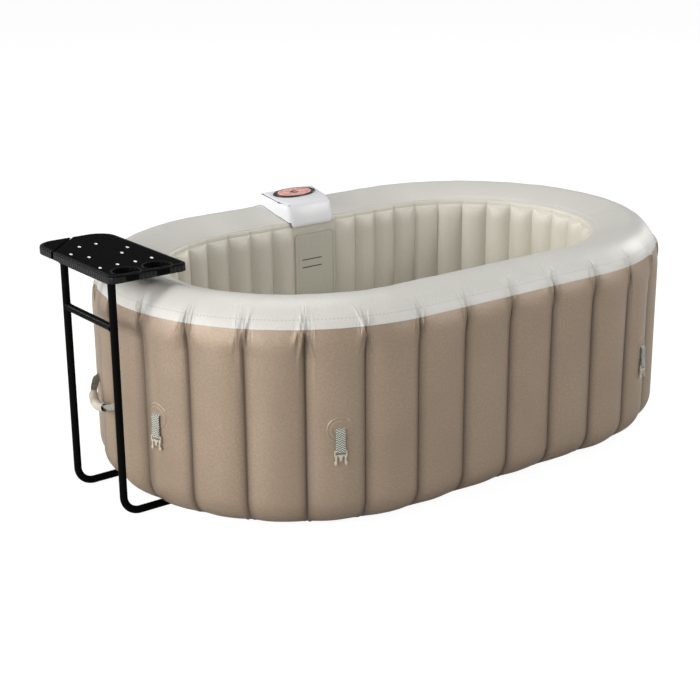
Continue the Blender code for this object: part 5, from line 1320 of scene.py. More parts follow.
    def make_icon(self, index: int) -> Piece:
        """A key's printed outline and its plain ring or wedge, as thin raised lines."""
        outline = self.key_outline(index)
        high = 0.0003 + self.well_floor + self.key_low + self.key_thick
        place = self.pad_frame(0.0)
        turn = np.linspace(0, TURN, 3 + index % 3 * 8, endpoint=False) + QUARTER
        sign = outline.mean(0) + 0.0042 * np.column_stack([np.cos(turn), np.sin(turn)])
        pieces = []
        for number, (line, width) in enumerate(((inset_outline(outline, 0.0010), 0.0019), (sign, 0.0013))):
            rings = plate_rings(line, [(0.0, high + 0.00012), (width, high + 0.00012)], place)
            pieces.append(make_surface(f"icon_part_{index}_{number}", rings, True))
        return joined(pieces, f"keypad_mark_{index + 1}")

    def make_window(self) -> list[Piece]:
        """The dark display and its two lit digits, made of plain bars."""
        low = 0.0006 + self.well_floor
        high = low + self.window_thick
        levels = [(0.0, low), (0.0, high - 0.0006), (0.0004, high - 0.0001), (0.0010, high)]
        rings = plate_rings(oval(*self.window, 48), levels, self.pad_frame(0.0))
        glass = make_surface("keypad_display", rings, *SOLID)
        bars = []
        for digit, shift in (("3", -0.0044), ("8", 0.0044)):
            for bar in {"3": "acdgb", "8": "abcdefg"}[digit]:
                bars.append(self.bar(bar, shift, high))
        return [glass, joined(bars, "keypad_digits")]

    def bar(self, bar: str, shift: float, high: float) -> Piece:
        """One bar of a seven-bar digit."""
        w, h, t = 0.0030, 0.0040, 0.0005
        places = {
            "a": (0, h, 1), "g": (0, 0, 1), "d": (0, -h, 1),
            "b": (w, h / 2, 0), "c": (w, -h / 2, 0), "e": (-w, -h / 2, 0), "f": (-w, h / 2, 0),
        }
        x, y, flat = places[bar]
        half = (w - t, t) if flat else (t, h / 2 - t)
        low, top = (x + shift - half[0], y - half[1]), (x + shift + half[0], y + half[1])
        outline = rounded_outline(low, top, (t * 0.9,) * 4, 2)
        rings = plate_rings(outline, [(0.0, high - 0.0001), (0.0, high + 0.0001)], self.pad_frame(0.0))
        return make_surface(f"digit_bar_{bar}_{shift > 0}", rings, *SOLID)

    def build(self, skins: TubSkins) -> None:
        """Builds the box and its keypad."""
        settle(self.shell(skins), "tub", Slot.WHITE, ["control_housing"])
        # a black strip of painted shade along the box's foot
        settle(self.foot_shade_strip(skins), "tub", Slot.RUBBER)
        settle(self.make_bezel(), "tub", Slot.BLACK, ["panel_bezel"], GLOSS_BLACK)
        glass, digits = self.make_window()
        settle(glass, "tub", Slot.GLASS, ["display_window"])
        settle(digits, "tub", Slot.GLASS, (), DIGIT)
        for index in range(self.key_count):
            body = f"key_body_{index + 1}"
            settle(self.make_key(index), body, Slot.KEY, [f"key_{index + 1}"])
            settle(self.make_icon(index), body, Slot.KEY, (), ICON)


GLOSS_BLACK = Moulded("gloss_black", (0.010, 0.010, 0.010), 0.16, grain_depth=0.00001, coat=0.6)
ICON = Lit("key_print", (0.86, 0.80, 0.78))
DIGIT = Lit("digit_light", (0.85, 0.30, 0.24), 0.7)


def holder(name: str, shape: bmesh.types.BMesh) -> Piece:
    """An object with a bmesh's faces."""
    mesh = bpy.data.meshes.new(name)
    shape.to_mesh(mesh)
    shape.free()
    return placed(name, mesh)


def cut_mesh(piece: Piece, steps: Sequence[tuple[Piece, str]]) -> bpy.types.Mesh:
    """The mesh of a piece after exact Boolean steps, with the piece and its tools removed.

    Args:
        piece: the piece to cut.
        steps: pairs of a tool and an operation.
    Returns:
        The finished mesh.
    """
    for tool, operation in steps:
        step = piece.modifiers.new(operation.lower(), "BOOLEAN")
        step.operation, step.object, step.solver = operation, tool, "EXACT"
    bpy.context.view_layer.update()
    mesh = bpy.data.meshes.new_from_object(piece.evaluated_get(bpy.context.evaluated_depsgraph_get()))
    for item in [piece, *{tool for tool, _ in steps}]:
        bpy.data.objects.remove(item, do_unlink=True)
    return mesh


def finished(name: str, mesh: bpy.types.Mesh, sharp: float) -> Piece:
    """A piece with a mesh, smooth but for its sharp edges."""
    mesh.shade_smooth()
    mesh.set_sharp_from_angle(angle=math.radians(sharp))
    return placed(name, mesh)


def joined(pieces: Sequence[Piece], name: str) -> Piece:
    """Several pieces as one, with their maps kept."""
    shape = bmesh.new()
    for piece in pieces:
        shape.from_mesh(piece.data)
        bpy.data.objects.remove(piece, do_unlink=True)
    piece = holder(name, shape)
    piece.data.shade_smooth()
    piece.data.set_sharp_from_angle(angle=math.radians(40))
    return piece


# Straps, buckles and handles


def joint_frame(name: str, record: dict) -> tuple[Array, Array, Array]:
    """The origin of a joint, its level axis, and the level direction away from the tub.

    Args:
        name: the joint's name.
        record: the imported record.
    Returns:
        The origin, the axis and the outward direction.
    """
    found = next(joint for joint in record["behaviour"]["joints"] if joint["name"] == name)
    origin = np.array(found["pos_m"] if "pos_m" in found else found["origin_m"], dtype=float)
    axis = np.array(found["axis"], dtype=float)
    axis /= np.linalg.norm(axis)
    out = np.cross(axis, UP)
    if out[0] * origin[0] < 0:
        out = -out
    return origin, axis, out


def ribbon(name: str, path: Array, across: Array, width: Array, thick: float) -> Piece:
    """A flat strap with rounded edges along a path.

    Each ring is a flat oval: the width times a rounded cosine across, and the thickness times a sine.

    Args:
        name: the piece's name.
        path: the middle line, as (count, 3).
        across: the direction of the width at each point.
        width: the width at each point.
        thick: the strap's thickness.
    Returns:
        The strap, with a map in metres across and along it.
    """
    normal = unit(np.cross(unit(np.gradient(path, axis=0)), across))
    turn = np.linspace(0, TURN, 20, endpoint=False)
    flat = np.sign(np.cos(turn)) * np.abs(np.cos(turn)) ** 0.45
    deep = np.sign(np.sin(turn)) * np.abs(np.sin(turn)) ** 0.55
    side = flat[None, :, None] * across[:, None] * width[:, None, None] / 2
    rings = path[:, None] + side + deep[None, :, None] * normal[:, None] * thick / 2
    length = run_length(path)
    chart_x = np.append(flat, flat[0])[None, :] * width[:, None] / 2 + 0.5
    chart = np.stack(np.broadcast_arrays(chart_x, length[:, None]), -1)
    return make_surface(name, rings, *SOLID, chart=chart, sharp=60)


def smooth_path(points: Sequence[Numbers], steps: int) -> Array:
    """A curve through points: a Catmull-Rom spline, whose pieces are cubics fixed by four points each."""
    table = np.asarray(points, dtype=float)
    table = np.vstack([2 * table[0] - table[1], table, 2 * table[-1] - table[-2]])
    share = np.linspace(0, 1, steps, endpoint=False)[:, None]
    parts = []
    for a, b, c, d in zip(table, table[1:], table[2:], table[3:]):
        terms = (2 * b, c - a, 2 * a - 5 * b + 4 * c - d, 3 * b - a - 3 * c + d)
        parts.append(0.5 * sum(term * share**power for power, term in enumerate(terms)))
    return np.vstack([*parts, table[-2][None]])


@dataclass
class CoverStrap:
    """A strap of the cover: webbing that stands off the wall, a plug buckle, and the weld round its top."""

    index: int
    width: float = 0.027
    thick: float = 0.0019
    stand_off: float = 0.0112
    length: float = 0.068
    weld_radius: float = 0.038
    weld_drop: float = 0.012
    weld_lift: float = 0.0005
    edge_ring: tuple[float, float, float] = (0.0011, 0.0035, 0.0020)
    inner_ring: tuple[float, float, float] = (0.0009, 0.024, 0.0022)
    buckle_half: float = 0.018
    buckle_thick: float = 0.005
    frame: float = 0.018
    prong: float = 0.026
    prong_width: float = 0.0045
    barb: float = 0.003
    tongue: float = 0.005
    tongue_length: float = 0.013
    slot: tuple[float, float] = (0.029, 0.0085)
    slot_drop: float = 0.004

    def world(self, local: Array, origin: Array, along: Array, out: Array) -> Array:
        """Points given along the wall, outwards and up, put into the world."""
        return origin + local[..., :1] * along + local[..., 1:2] * out + local[..., 2:] * UP

    def band(
        self, name: str, knots: Sequence[Numbers], steps: int, size: Numbers, frame: Sequence[Array]
    ) -> Piece:
        """A stretch of webbing of a width and thickness, along a curve through knots in the joint's frame."""
        path = self.world(smooth_path(knots, steps), *frame)
        across = np.tile(frame[1], (len(path), 1))
        return ribbon(f"strap_{name}_{self.index}", path, across, np.full(len(path), size[0]), size[1])

    def webbing(self, origin: Array, along: Array, out: Array) -> Piece:
        """The strap: out from its weld in a small S, then straight down to the buckle."""
        off = self.stand_off
        knots = [
            (0, 0.0004, -0.006), (0, off * 0.75, -0.0095), (0, off * 1.08, -0.018), (0, off, -0.036),
            (0, off * 0.98, -self.length + 0.002),
        ]
        return self.band("webbing", knots, 7, (self.width, self.thick), (origin, along, out))

    def fold(self, origin: Array, along: Array, out: Array) -> Piece:
        """The webbing's tail, looped through the buckle's bar and sewn back on itself."""
        off, low = self.stand_off, -self.length - self.slot_drop
        knots = [
            (0, off + 0.0022, -self.length + 0.022), (0, off + 0.0022, -self.length + 0.006),
            (0, off + 0.0034, low + 0.001), (0, off + 0.0012, low - 0.0035),
            (0, off - 0.0022, low + 0.0005),
            (0, off - 0.0018, -self.length + 0.006),
        ]
        return self.band("fold", knots, 6, (self.width * 0.97, self.thick * 0.8), (origin, along, out))

    def buckle(self, origin: Array, along: Array, out: Array) -> Piece:
        """The plug: a frame with a slot, two barbed prongs and a middle tongue, with rolled edges."""
        half, root = self.buckle_half, -self.frame
        tip = root - self.prong
        catch = tip + 2 * self.prong_width
        inner = half - self.barb - self.prong_width
        outer = half - self.barb
        right = [
            (half - 0.002, 0.0), (half, -0.002), (half, root + 0.002), (outer, root - self.prong_width),
            (outer, catch + self.prong_width), (half + 0.0006, catch), (half - 0.001, tip + 0.003),
            (outer, tip), (inner, tip + self.prong_width), (inner, root - 0.003), (inner - 0.0015, root),
            (self.tongue, root), (self.tongue / 2, root - self.tongue_length),
        ]
        outline = right + [(-x, y) for x, y in reversed(right)]
        wide, top, low = self.slot[0] / 2, -self.slot_drop, -self.slot_drop - self.slot[1]
        slot = [(-wide, top), (wide, top), (wide, low), (-wide, low)]
        rivet = oval(0.0013, 0.0013, 10)
        holes = [(rivet + (side * 0.0085, -0.0152)).tolist() for side in (-1, 1)]
        mesh = rolled_plate([outline, slot, *holes], self.buckle_thick, 0.0009)
        table = np.array([vert.co for vert in mesh.vertices])
        height = table[:, 1] - self.length - 0.0003
        local = np.column_stack([table[:, 0], self.stand_off + table[:, 2], height])
        mesh.vertices.foreach_set("co", self.world(local, origin, along, out).ravel())
        if np.linalg.det(np.array([along, UP, out])) < 0:
            mesh.flip_normals()
        return finished(f"strap_plug_{self.index}", mesh, 50)

    def weld(self, skins: TubSkins, origin: Array) -> Piece:
        """The round weld in the wall about the strap's top.

        It is a disc laid on the wall in polar steps, its height two bells and an edge that meets the wall.

        Args:
            skins: the tub's skins.
            origin: the strap's upper end.
        Returns:
            The disc.
        """
        radii = np.linspace(0.004, self.weld_radius, 26)
        turn = np.linspace(0, TURN, 64, endpoint=False)
        station = skins.station_at(origin) + radii[:, None] * np.cos(turn)[None, :]
        middle = skins.section.where_z(origin[2] - self.weld_drop)
        distance = middle + radii[:, None] * np.sin(turn)[None, :]
        (edge, inset, edge_width), (inner, place, inner_width) = self.edge_ring, self.inner_ring
        lift = self.weld_lift + edge * bell(radii - self.weld_radius + inset, edge_width)
        lift = lift + inner * bell(radii - place, inner_width)
        lift = lift - 0.0009 * (radii > self.weld_radius - 0.0012)
        points = skins.outer_points(station, distance, 0.0)
        rows = np.gradient(points, axis=0)
        around = np.roll(points, -1, 1) - np.roll(points, 1, 1)
        normal = np.cross(around, rows)
        normal /= np.maximum(np.linalg.norm(normal, axis=-1, keepdims=True), 1e-12)
        if np.sum(normal[5, :, 0] * np.sign(origin[0])) < 0:
            normal = -normal
        points = points + normal * lift[:, None, None]
        chart = np.stack([np.column_stack([table, table[:, 0]]) for table in (station, distance)], -1)
        turned = outward_needs_flip(points, origin)
        return make_surface(
            f"strap_weld_{self.index}", points, True, (True, False), chart=chart, flip=turned
        )

    def build(self, skins: TubSkins, record: dict) -> None:
        """Builds the strap, its buckle and its weld."""
        origin, along, out = joint_frame(f"cover_strap_{self.index}_lift", record)
        body = f"strap_body_{self.index}"
        settle(self.webbing(origin, along, out), body, Slot.WEBBING, [f"cover_strap_{self.index}"])
        settle(self.fold(origin, along, out), body, Slot.WEBBING)
        settle(self.buckle(origin, along, out), body, Slot.CREAM_PLASTIC, [f"cover_buckle_{self.index}"])
        settle(self.weld(skins, origin), "tub", Slot.TAN)


def outward_needs_flip(points: Array, origin: Array) -> bool:
    """Whether a disc's faces, as its grid gives them, look into the tub."""
    along_row = points[6, 1] - points[6, 0]
    along_column = points[7, 0] - points[6, 0]
    normal = np.cross(along_row, along_column)
    outward = np.array([math.copysign(1.0, origin[0]), 0.0, 0.0])
    if abs(origin[1]) > abs(origin[0]) - 0.34:
        outward = np.array([0.0, math.copysign(1.0, origin[1]), 0.0])
    return bool(normal.dot(outward) < 0)


def rolled_plate(outlines: Sequence[Sequence[Numbers]], thick: float, roll: float) -> bpy.types.Mesh:
    """A flat plate with holes and rolled edges, about the height zero.

    Args:
        outlines: the outline and its holes.
        thick: the plate's whole thickness.
        roll: the radius of its edges.
    Returns:
        The closed mesh.
    """
    curve = bpy.data.curves.new("plate", "CURVE")
    curve.dimensions, curve.fill_mode = "2D", "BOTH"
    curve.extrude, curve.offset = thick / 2 - roll, -roll
    curve.bevel_depth, curve.bevel_resolution = roll, 2
    for outline in outlines:
        spline = curve.splines.new("POLY")
        spline.points.add(len(outline) - 1)
        count = len(outline)
        table = np.column_stack([np.array(outline), np.zeros(count), np.ones(count)])
        spline.points.foreach_set("co", table.ravel())
        spline.use_cyclic_u = True
    item = placed("plate", curve)
    bpy.context.view_layer.update()
    mesh = bpy.data.meshes.new_from_object(item.evaluated_get(bpy.context.evaluated_depsgraph_get()))
    bpy.data.objects.remove(item, do_unlink=True)
    merge(mesh)
    return mesh


@dataclass
class CarryHandle:
    """A carry handle: a webbing loop and the round grip on it."""

    side: Side
    lift: float = 0.0035
    reach: float = 0.062
    droop: float = math.radians(42.0)
    fullness: float = 0.7
    width: float = 0.025
    grip_width: float = 0.020
    tip_width: float = 0.010
    thick: float = 0.002
    grip_radius: float = 0.0135
    grip_bore: float = 0.0120
    grip_share: float = 0.50

    def middle_line(self, share: Array, chord: float, origin: Array, along: Array, out: Array) -> Array:
        """The loop's middle line: along the chord, and out by a power of a sine, drooping by its angle."""
        sine = np.clip(np.sin(math.pi * share), 0, 1)
        reach = self.lift + self.reach * sine**self.fullness
        level = along * (chord * (share - 0.5))[:, None]
        drop = out * math.cos(self.droop) - UP * math.sin(self.droop)
        return origin + level + reach[:, None] * drop

    def build(self, frame: dict) -> None:
        """Builds the loop and the grip."""
        name = self.side.value
        origin, along, out = joint_frame(f"handle_{name}_lift", frame["record"])
        node = frame["nodes"][f"handle_loop_{name}"]
        table = np.zeros(len(node.data.vertices) * 3)
        node.data.vertices.foreach_get("co", table)
        reach = (table.reshape(-1, 3) - origin) @ along
        chord = float(reach.max() - reach.min()) - 0.001
        share = np.linspace(0.0, 1.0, 61)
        path = self.middle_line(share, chord, origin, along, out)
        across = np.tile(out * math.sin(self.droop) + UP * math.cos(self.droop), (len(path), 1))
        end = np.minimum(share, 1 - share)
        inside = smooth_step(end, 0.19, 0.26)
        width = self.tip_width + (self.width - self.tip_width) * smooth_step(end, 0.0, 0.05)
        width = width + (self.grip_width - width) * inside
        body = f"handle_body_{name}"
        loop = ribbon(f"carry_loop_{name}", path, across, width, self.thick)
        settle(loop, body, Slot.WEBBING, [f"handle_loop_{name}"])
        inside = 0.5 + self.grip_share * np.linspace(-0.5, 0.5, 33)
        middle = self.middle_line(inside, chord, origin, along, out)
        settle(self.grip(middle, name), body, Slot.CREAM_PLASTIC, [f"handle_grip_{name}"], GRIP)

    def grip(self, path: Array, name: str) -> Piece:
        """The grip: a hollow round tube with rolled ends, its outside and its bore in one closed surface."""
        path = path[1:-1]
        edge = np.array([0.0128, 0.0134, self.grip_radius])
        outer = np.concatenate([edge, np.full(len(path) - 6, self.grip_radius), edge[::-1]])
        rings = tube_rings(path, outer, 32)
        bore = tube_rings(path, self.grip_bore, 32)[::-1]
        closed = np.concatenate([rings, bore, rings[:1]])
        return make_surface(f"carry_grip_{name}", closed, True, sharp=60)


GRIP = Moulded("grip_vinyl", (0.60, 0.54, 0.44), 0.30, coat=0.2)


# The tray and its stand


@dataclass
class DrinkTray:
    """The drink tray's dress: a woven field, a rolled border, cup rims and a ribbed skirt."""

    low: tuple[float, float] = (-1.036, -0.128)
    high: tuple[float, float] = (-0.800, 0.335)
    radii: tuple[float, float, float, float] = (0.020, 0.020, 0.060, 0.060)
    top: float = 0.705
    depth: float = 0.021
    cup_radius: float = 0.0385
    cups: tuple[tuple[float, float], ...] = ((-0.972, -0.096), (-0.876, -0.096))
    groove: tuple[tuple[float, float], tuple[float, float]] = ((-1.036, 0.212), (-0.914, 0.335))
    groove_half: float = 0.0035
    slot_shares: tuple[tuple[float, float], ...] = (
        (0.367, 0.741), (0.597, 0.745), (0.121, 0.609), (0.226, 0.480), (0.097, 0.218),
        (0.633, 0.451), (0.815, 0.549), (0.331, 0.227), (0.556, 0.220), (0.794, 0.235),
    )
    slot_half: tuple[float, float] = (0.0025, 0.006)
    # the width of the pale painted-light ring round each slot
    slot_light_width: float = 0.0012
    rib: float = 0.0125
    rib_height: float = 0.0018
    strand: float = 0.0052
    stake: float = 0.0125
    cell: float = 0.0013
    weave_height: float = 0.0011
    field_inset: float = 0.0065
    cup_clear: float = 0.004

    def edge_distance(self, x: Array, y: Array) -> Array:
        """How far points lie inside the tray's outline; the far inner corner is the round one."""
        side = np.minimum(
            np.minimum(x - self.low[0], self.high[0] - x), np.minimum(y - self.low[1], self.high[1] - y)
        )
        corners = (
            (self.low[0], self.low[1]), (self.high[0], self.low[1]), (self.high[0], self.high[1]),
            (self.low[0], self.high[1])
        )
        for (cx, cy), radius in zip(corners, self.radii):
            dx, dy = np.abs(x - cx), np.abs(y - cy)
            in_corner = (dx < radius) & (dy < radius)
            side = np.where(in_corner, radius - np.hypot(radius - dx, radius - dy), side)
        return side

    def groove_distance(self, x: Array, y: Array) -> Array:
        """How far points lie from the groove's middle line."""
        (ax, ay), (bx, by) = self.groove
        length = math.hypot(bx - ax, by - ay)
        return np.abs((bx - ax) * (y - ay) - (by - ay) * (x - ax)) / length

    def slot_centres(self) -> Array:
        """The middles of the drain slots in plan."""
        return np.array(self.low) + (np.array(self.high) - self.low) * np.array(self.slot_shares)

    def weave(self) -> Piece:
        """The woven field.

        Strands run along X over and under stakes along Y: the height is the strand's round back plus a sine
        whose sign changes from one strand to the next.
        """
        xs = np.arange(self.low[0] + 0.005, self.high[0] - 0.005, self.cell)
        ys = np.arange(self.low[1] + 0.005, self.high[1] - 0.005, self.cell)
        y, x = np.meshgrid(ys, xs, indexing="ij")
        row = np.floor(y / self.strand)
        back = np.abs(np.sin(math.pi * y / self.strand)) ** 0.6
        wave = np.cos(math.pi * x / self.stake + math.pi * row)
        height = self.weave_height * back * (0.55 + 0.45 * wave)
        rings = np.stack([x, y, self.top + 0.0002 + height], -1)
        mx = (x[:-1, :-1] + x[1:, 1:]) / 2
        my = (y[:-1, :-1] + y[1:, 1:]) / 2
        keep = self.edge_distance(mx, my) > self.field_inset
        keep &= self.groove_distance(mx, my) > self.groove_half + 0.0035
        for cx, cy in self.cups:
            keep &= np.hypot(mx - cx, my - cy) > self.cup_radius + self.cup_clear
        for cx, cy in self.slot_centres():
            keep &= (np.abs(mx - cx) > self.slot_half[0]) | (np.abs(my - cy) > self.slot_half[1])
        return make_surface("tray_weave", rings, keep=keep, sharp=80)

    def outline(self, step: float = 0.0014) -> Array:
        """The tray's outline in close, even steps."""
        rough = rounded_outline(self.low, self.high, self.radii, 24)
        loop = np.vstack([rough, rough[:1]])
        length = run_length(loop)
        places = np.linspace(0, length[-1], int(length[-1] / step), endpoint=False)
        return np.column_stack([np.interp(places, length, loop[:, axis]) for axis in (0, 1)])

    def strips(self) -> list[Array]:
        """The outline's two stretches, on either side of the groove's open ends."""
        loop = self.outline()
        clear = self.groove_distance(loop[:, 0], loop[:, 1]) > self.groove_half + 0.0006
        starts = np.flatnonzero(clear & ~np.roll(clear, 1))
        parts = []
        for start in starts:
            order = np.roll(np.arange(len(loop)), -start)
            stop = int(np.argmin(clear[order]))
            parts.append(loop[order[:stop]])
        return parts

    def along(self, name: str, stretch: Array, profile: Sequence[Numbers], rib: float) -> Piece:
        """A moulding along a stretch of the outline.

        Each point is the outline moved out by the profile, and by the ribs, which are a power of a sine.

        Args:
            name: the piece's name.
            stretch: points of the outline.
            profile: pairs of a distance out and a height, round the moulding's closed section.
            rib: the ribs' height; 0 for none.
        Returns:
            The moulding.
        """
        run = unit(np.gradient(stretch, axis=0))
        out = np.column_stack([run[:, 1], -run[:, 0]])
        length = run_length(stretch)
        swell = rib * np.abs(np.sin(math.pi * length / self.rib)) ** 0.5
        table = np.array(profile)
        ribbed = table[:, 0] > 0.0
        move = table[None, :, 0] + swell[:, None] * ribbed[None, :]
        flat = stretch[:, None] + out[:, None] * move[..., None]
        heights = np.broadcast_to(table[None, :, 1, None], (*flat.shape[:2], 1))
        return make_surface(name, np.concatenate([flat, heights], -1), *SOLID, sharp=50)

    def slot_light_rings(self) -> Piece:
        """Painted light at the drain slots: pale oval rings that roll over each slot's edge and down its
        wall, for the bright dots where light shows through.
        """
        outline = oval(self.slot_half[0] + self.slot_light_width, self.slot_half[1] + self.slot_light_width, 24)
        inward = unit(outline)
        profile = [(0, 0.0006), (0, 0.0016), (0.0006, 0.0022), (0.0018, 0.0023)]
        profile += [(0.0026, 0.0016), (0.0028, -0.0030)]
        pieces = []
        for number, centre in enumerate(self.slot_centres()):
            flats = [(centre + outline - inward * step, self.top + z) for step, z in profile]
            rings = [np.column_stack([flat, np.full(24, z)]) for flat, z in flats]
            pieces.append(make_surface(f"liner_{number}", np.array(rings), True, sharp=50))
        return joined(pieces, "tray_slot_light_rings")

    def cup_rim(self, name: str, centre: tuple[float, float]) -> Piece:
        """A rolled rim round a cup recess, with the recess's wall and its dished floor."""
        radius, top = self.cup_radius, self.top
        turn = np.linspace(0, math.pi, 9)
        bead = [(0.0025 + 0.003 * math.cos(a), 0.0002 + 0.0016 * math.sin(a)) for a in turn]
        wall = [(-0.0006, -0.006), (-0.0012, -0.0130), (-0.0045, -0.0141)]
        profile = [(radius + out, z) for out, z in [(0.0055, -0.001), *bead, *wall]]
        profile += [
            (0.027, -0.0136), (0.026, -0.0130), (0.025, -0.0136), (0.012, -0.0140), (0.0015, -0.0140)
        ]
        rings = lathe_rings(profile, (*centre, top), UP, 72)
        return make_surface(f"tray_cup_{name}", rings, True, (False, True), flip=True)

    def build(self) -> None:
        """Builds the tray's dress."""
        settle(self.weave(), "stand", Slot.BLACK)
        # pale rings at the drain slots: painted light for their bright dots
        settle(self.slot_light_rings(), "stand", Slot.CREAM_PLASTIC, (), SLOT_LIGHT)
        top, foot = self.top, self.top - self.depth
        skirt = [
            (-0.0012, top - 0.0035), (-0.0012, foot + 0.0008), (0.0003, foot + 0.0004),
            (0.0006, foot + 0.002), (0.0006, top - 0.0045), (0.0003, top - 0.0034),
        ]
        turn = np.linspace(0, math.pi, 11)
        border = [(-0.0045 + 0.0058 * math.cos(a), top - 0.0004 + 0.0022 * math.sin(a)) for a in turn]
        border += [(-0.0103, top - 0.0012), (-0.0045, top - 0.0014)]
        border += [(-0.0002, top - 0.0030), (0.0010, top - 0.0036)]
        for number, stretch in enumerate(self.strips(), start=1):
            ribbed = self.along(f"tray_skirt_{number}", stretch, skirt, self.rib_height)
            settle(ribbed, "stand", Slot.BLACK, (), SKIRT)
            smooth = self.along(f"tray_border_{number}", stretch[::3], border, 0.0)
            settle(smooth, "stand", Slot.BLACK, (), GLOSS_TRAY)
        for name, centre in zip(("outer", "inner"), self.cups):
            settle(self.cup_rim(name, centre), "stand", Slot.BLACK, (), GLOSS_TRAY)


GLOSS_TRAY = Moulded("smooth_black_resin", (0.004, 0.004, 0.004), 0.30, grain_depth=0.00002, shine=0.06)
SKIRT = Moulded("ribbed_black_resin", (0.006, 0.006, 0.006), 0.24, grain_depth=0.00002, shine=0.30)
# painted light for the drain slots' bright dots
SLOT_LIGHT = Moulded("painted_light_slot", (0.82, 0.82, 0.80), 0.30)


@dataclass
class TrayStand:
    """The stand: two bent tubes, narrowed a little and closed at the rails' ends, and the bar between their
    legs.
    """

    leg_x: float = -1.024
    leg_y: tuple[float, float] = (-0.105, 0.168)
    radius: float = 0.011
    bend: float = 0.050
    rail_end: float = -0.838
    leg_top: float = 0.6804
    bar_z: float = 0.555
    bar_overlap: float = 0.004
    bar_flare: tuple[float, ...] = (0.0, 0.004, 0.0055, 0.0075, 0.010)
    bar_radii: tuple[float, ...] = (0.0125, 0.0125, 0.0121, 0.0114, 0.0110)

    def tube(self, name: str, y: float) -> Piece:
        """One frame: along the floor, round the bend and up to the bracket."""
        centre = (self.leg_x + self.bend, y, self.radius + self.bend)
        curve = arc(centre, (0, 0, -self.bend), (-self.bend, 0, 0), 14)
        start = np.array([[self.rail_end, y, self.radius], [self.rail_end - 0.0015, y, self.radius]])
        path = np.vstack([start, curve, [(self.leg_x, y, self.leg_top)]])
        radii = np.concatenate([[self.radius - 0.0012], np.full(len(path) - 1, self.radius)])
        return make_surface(f"stand_tube_{name}", tube_rings(path, radii, 32), *SOLID, sharp=50)

    def build(self) -> None:
        """Builds the tubes, the bar and its welds."""
        for name, y in zip(("near", "far"), self.leg_y):
            settle(self.tube(name, y), "stand", Slot.BLACK_STEEL, [f"stand_frame_{name}"])
        spare = self.radius - self.bar_overlap
        low, high = self.leg_y[0] + spare, self.leg_y[1] - spare
        flare = np.array(self.bar_flare)
        places = np.concatenate([low + flare, high - flare[::-1]])
        size = np.array(self.bar_radii)
        path = np.column_stack([np.full(10, self.leg_x), places, np.full(10, self.bar_z)])
        bar = make_surface(
            "stand_bar", tube_rings(path, np.concatenate([size, size[::-1]]), 32), True, (True, True),
            sharp=60
        )
        settle(bar, "stand", Slot.BLACK_STEEL, ["stand_crossbar"])


# Fittings


def raised(rows: Sequence[Numbers], low: float) -> list[tuple[float, ...]]:
    """Rows of radius, height and rib height, with their heights counted from a level."""
    return [(radius, low + height, rib) for radius, height, rib in rows]


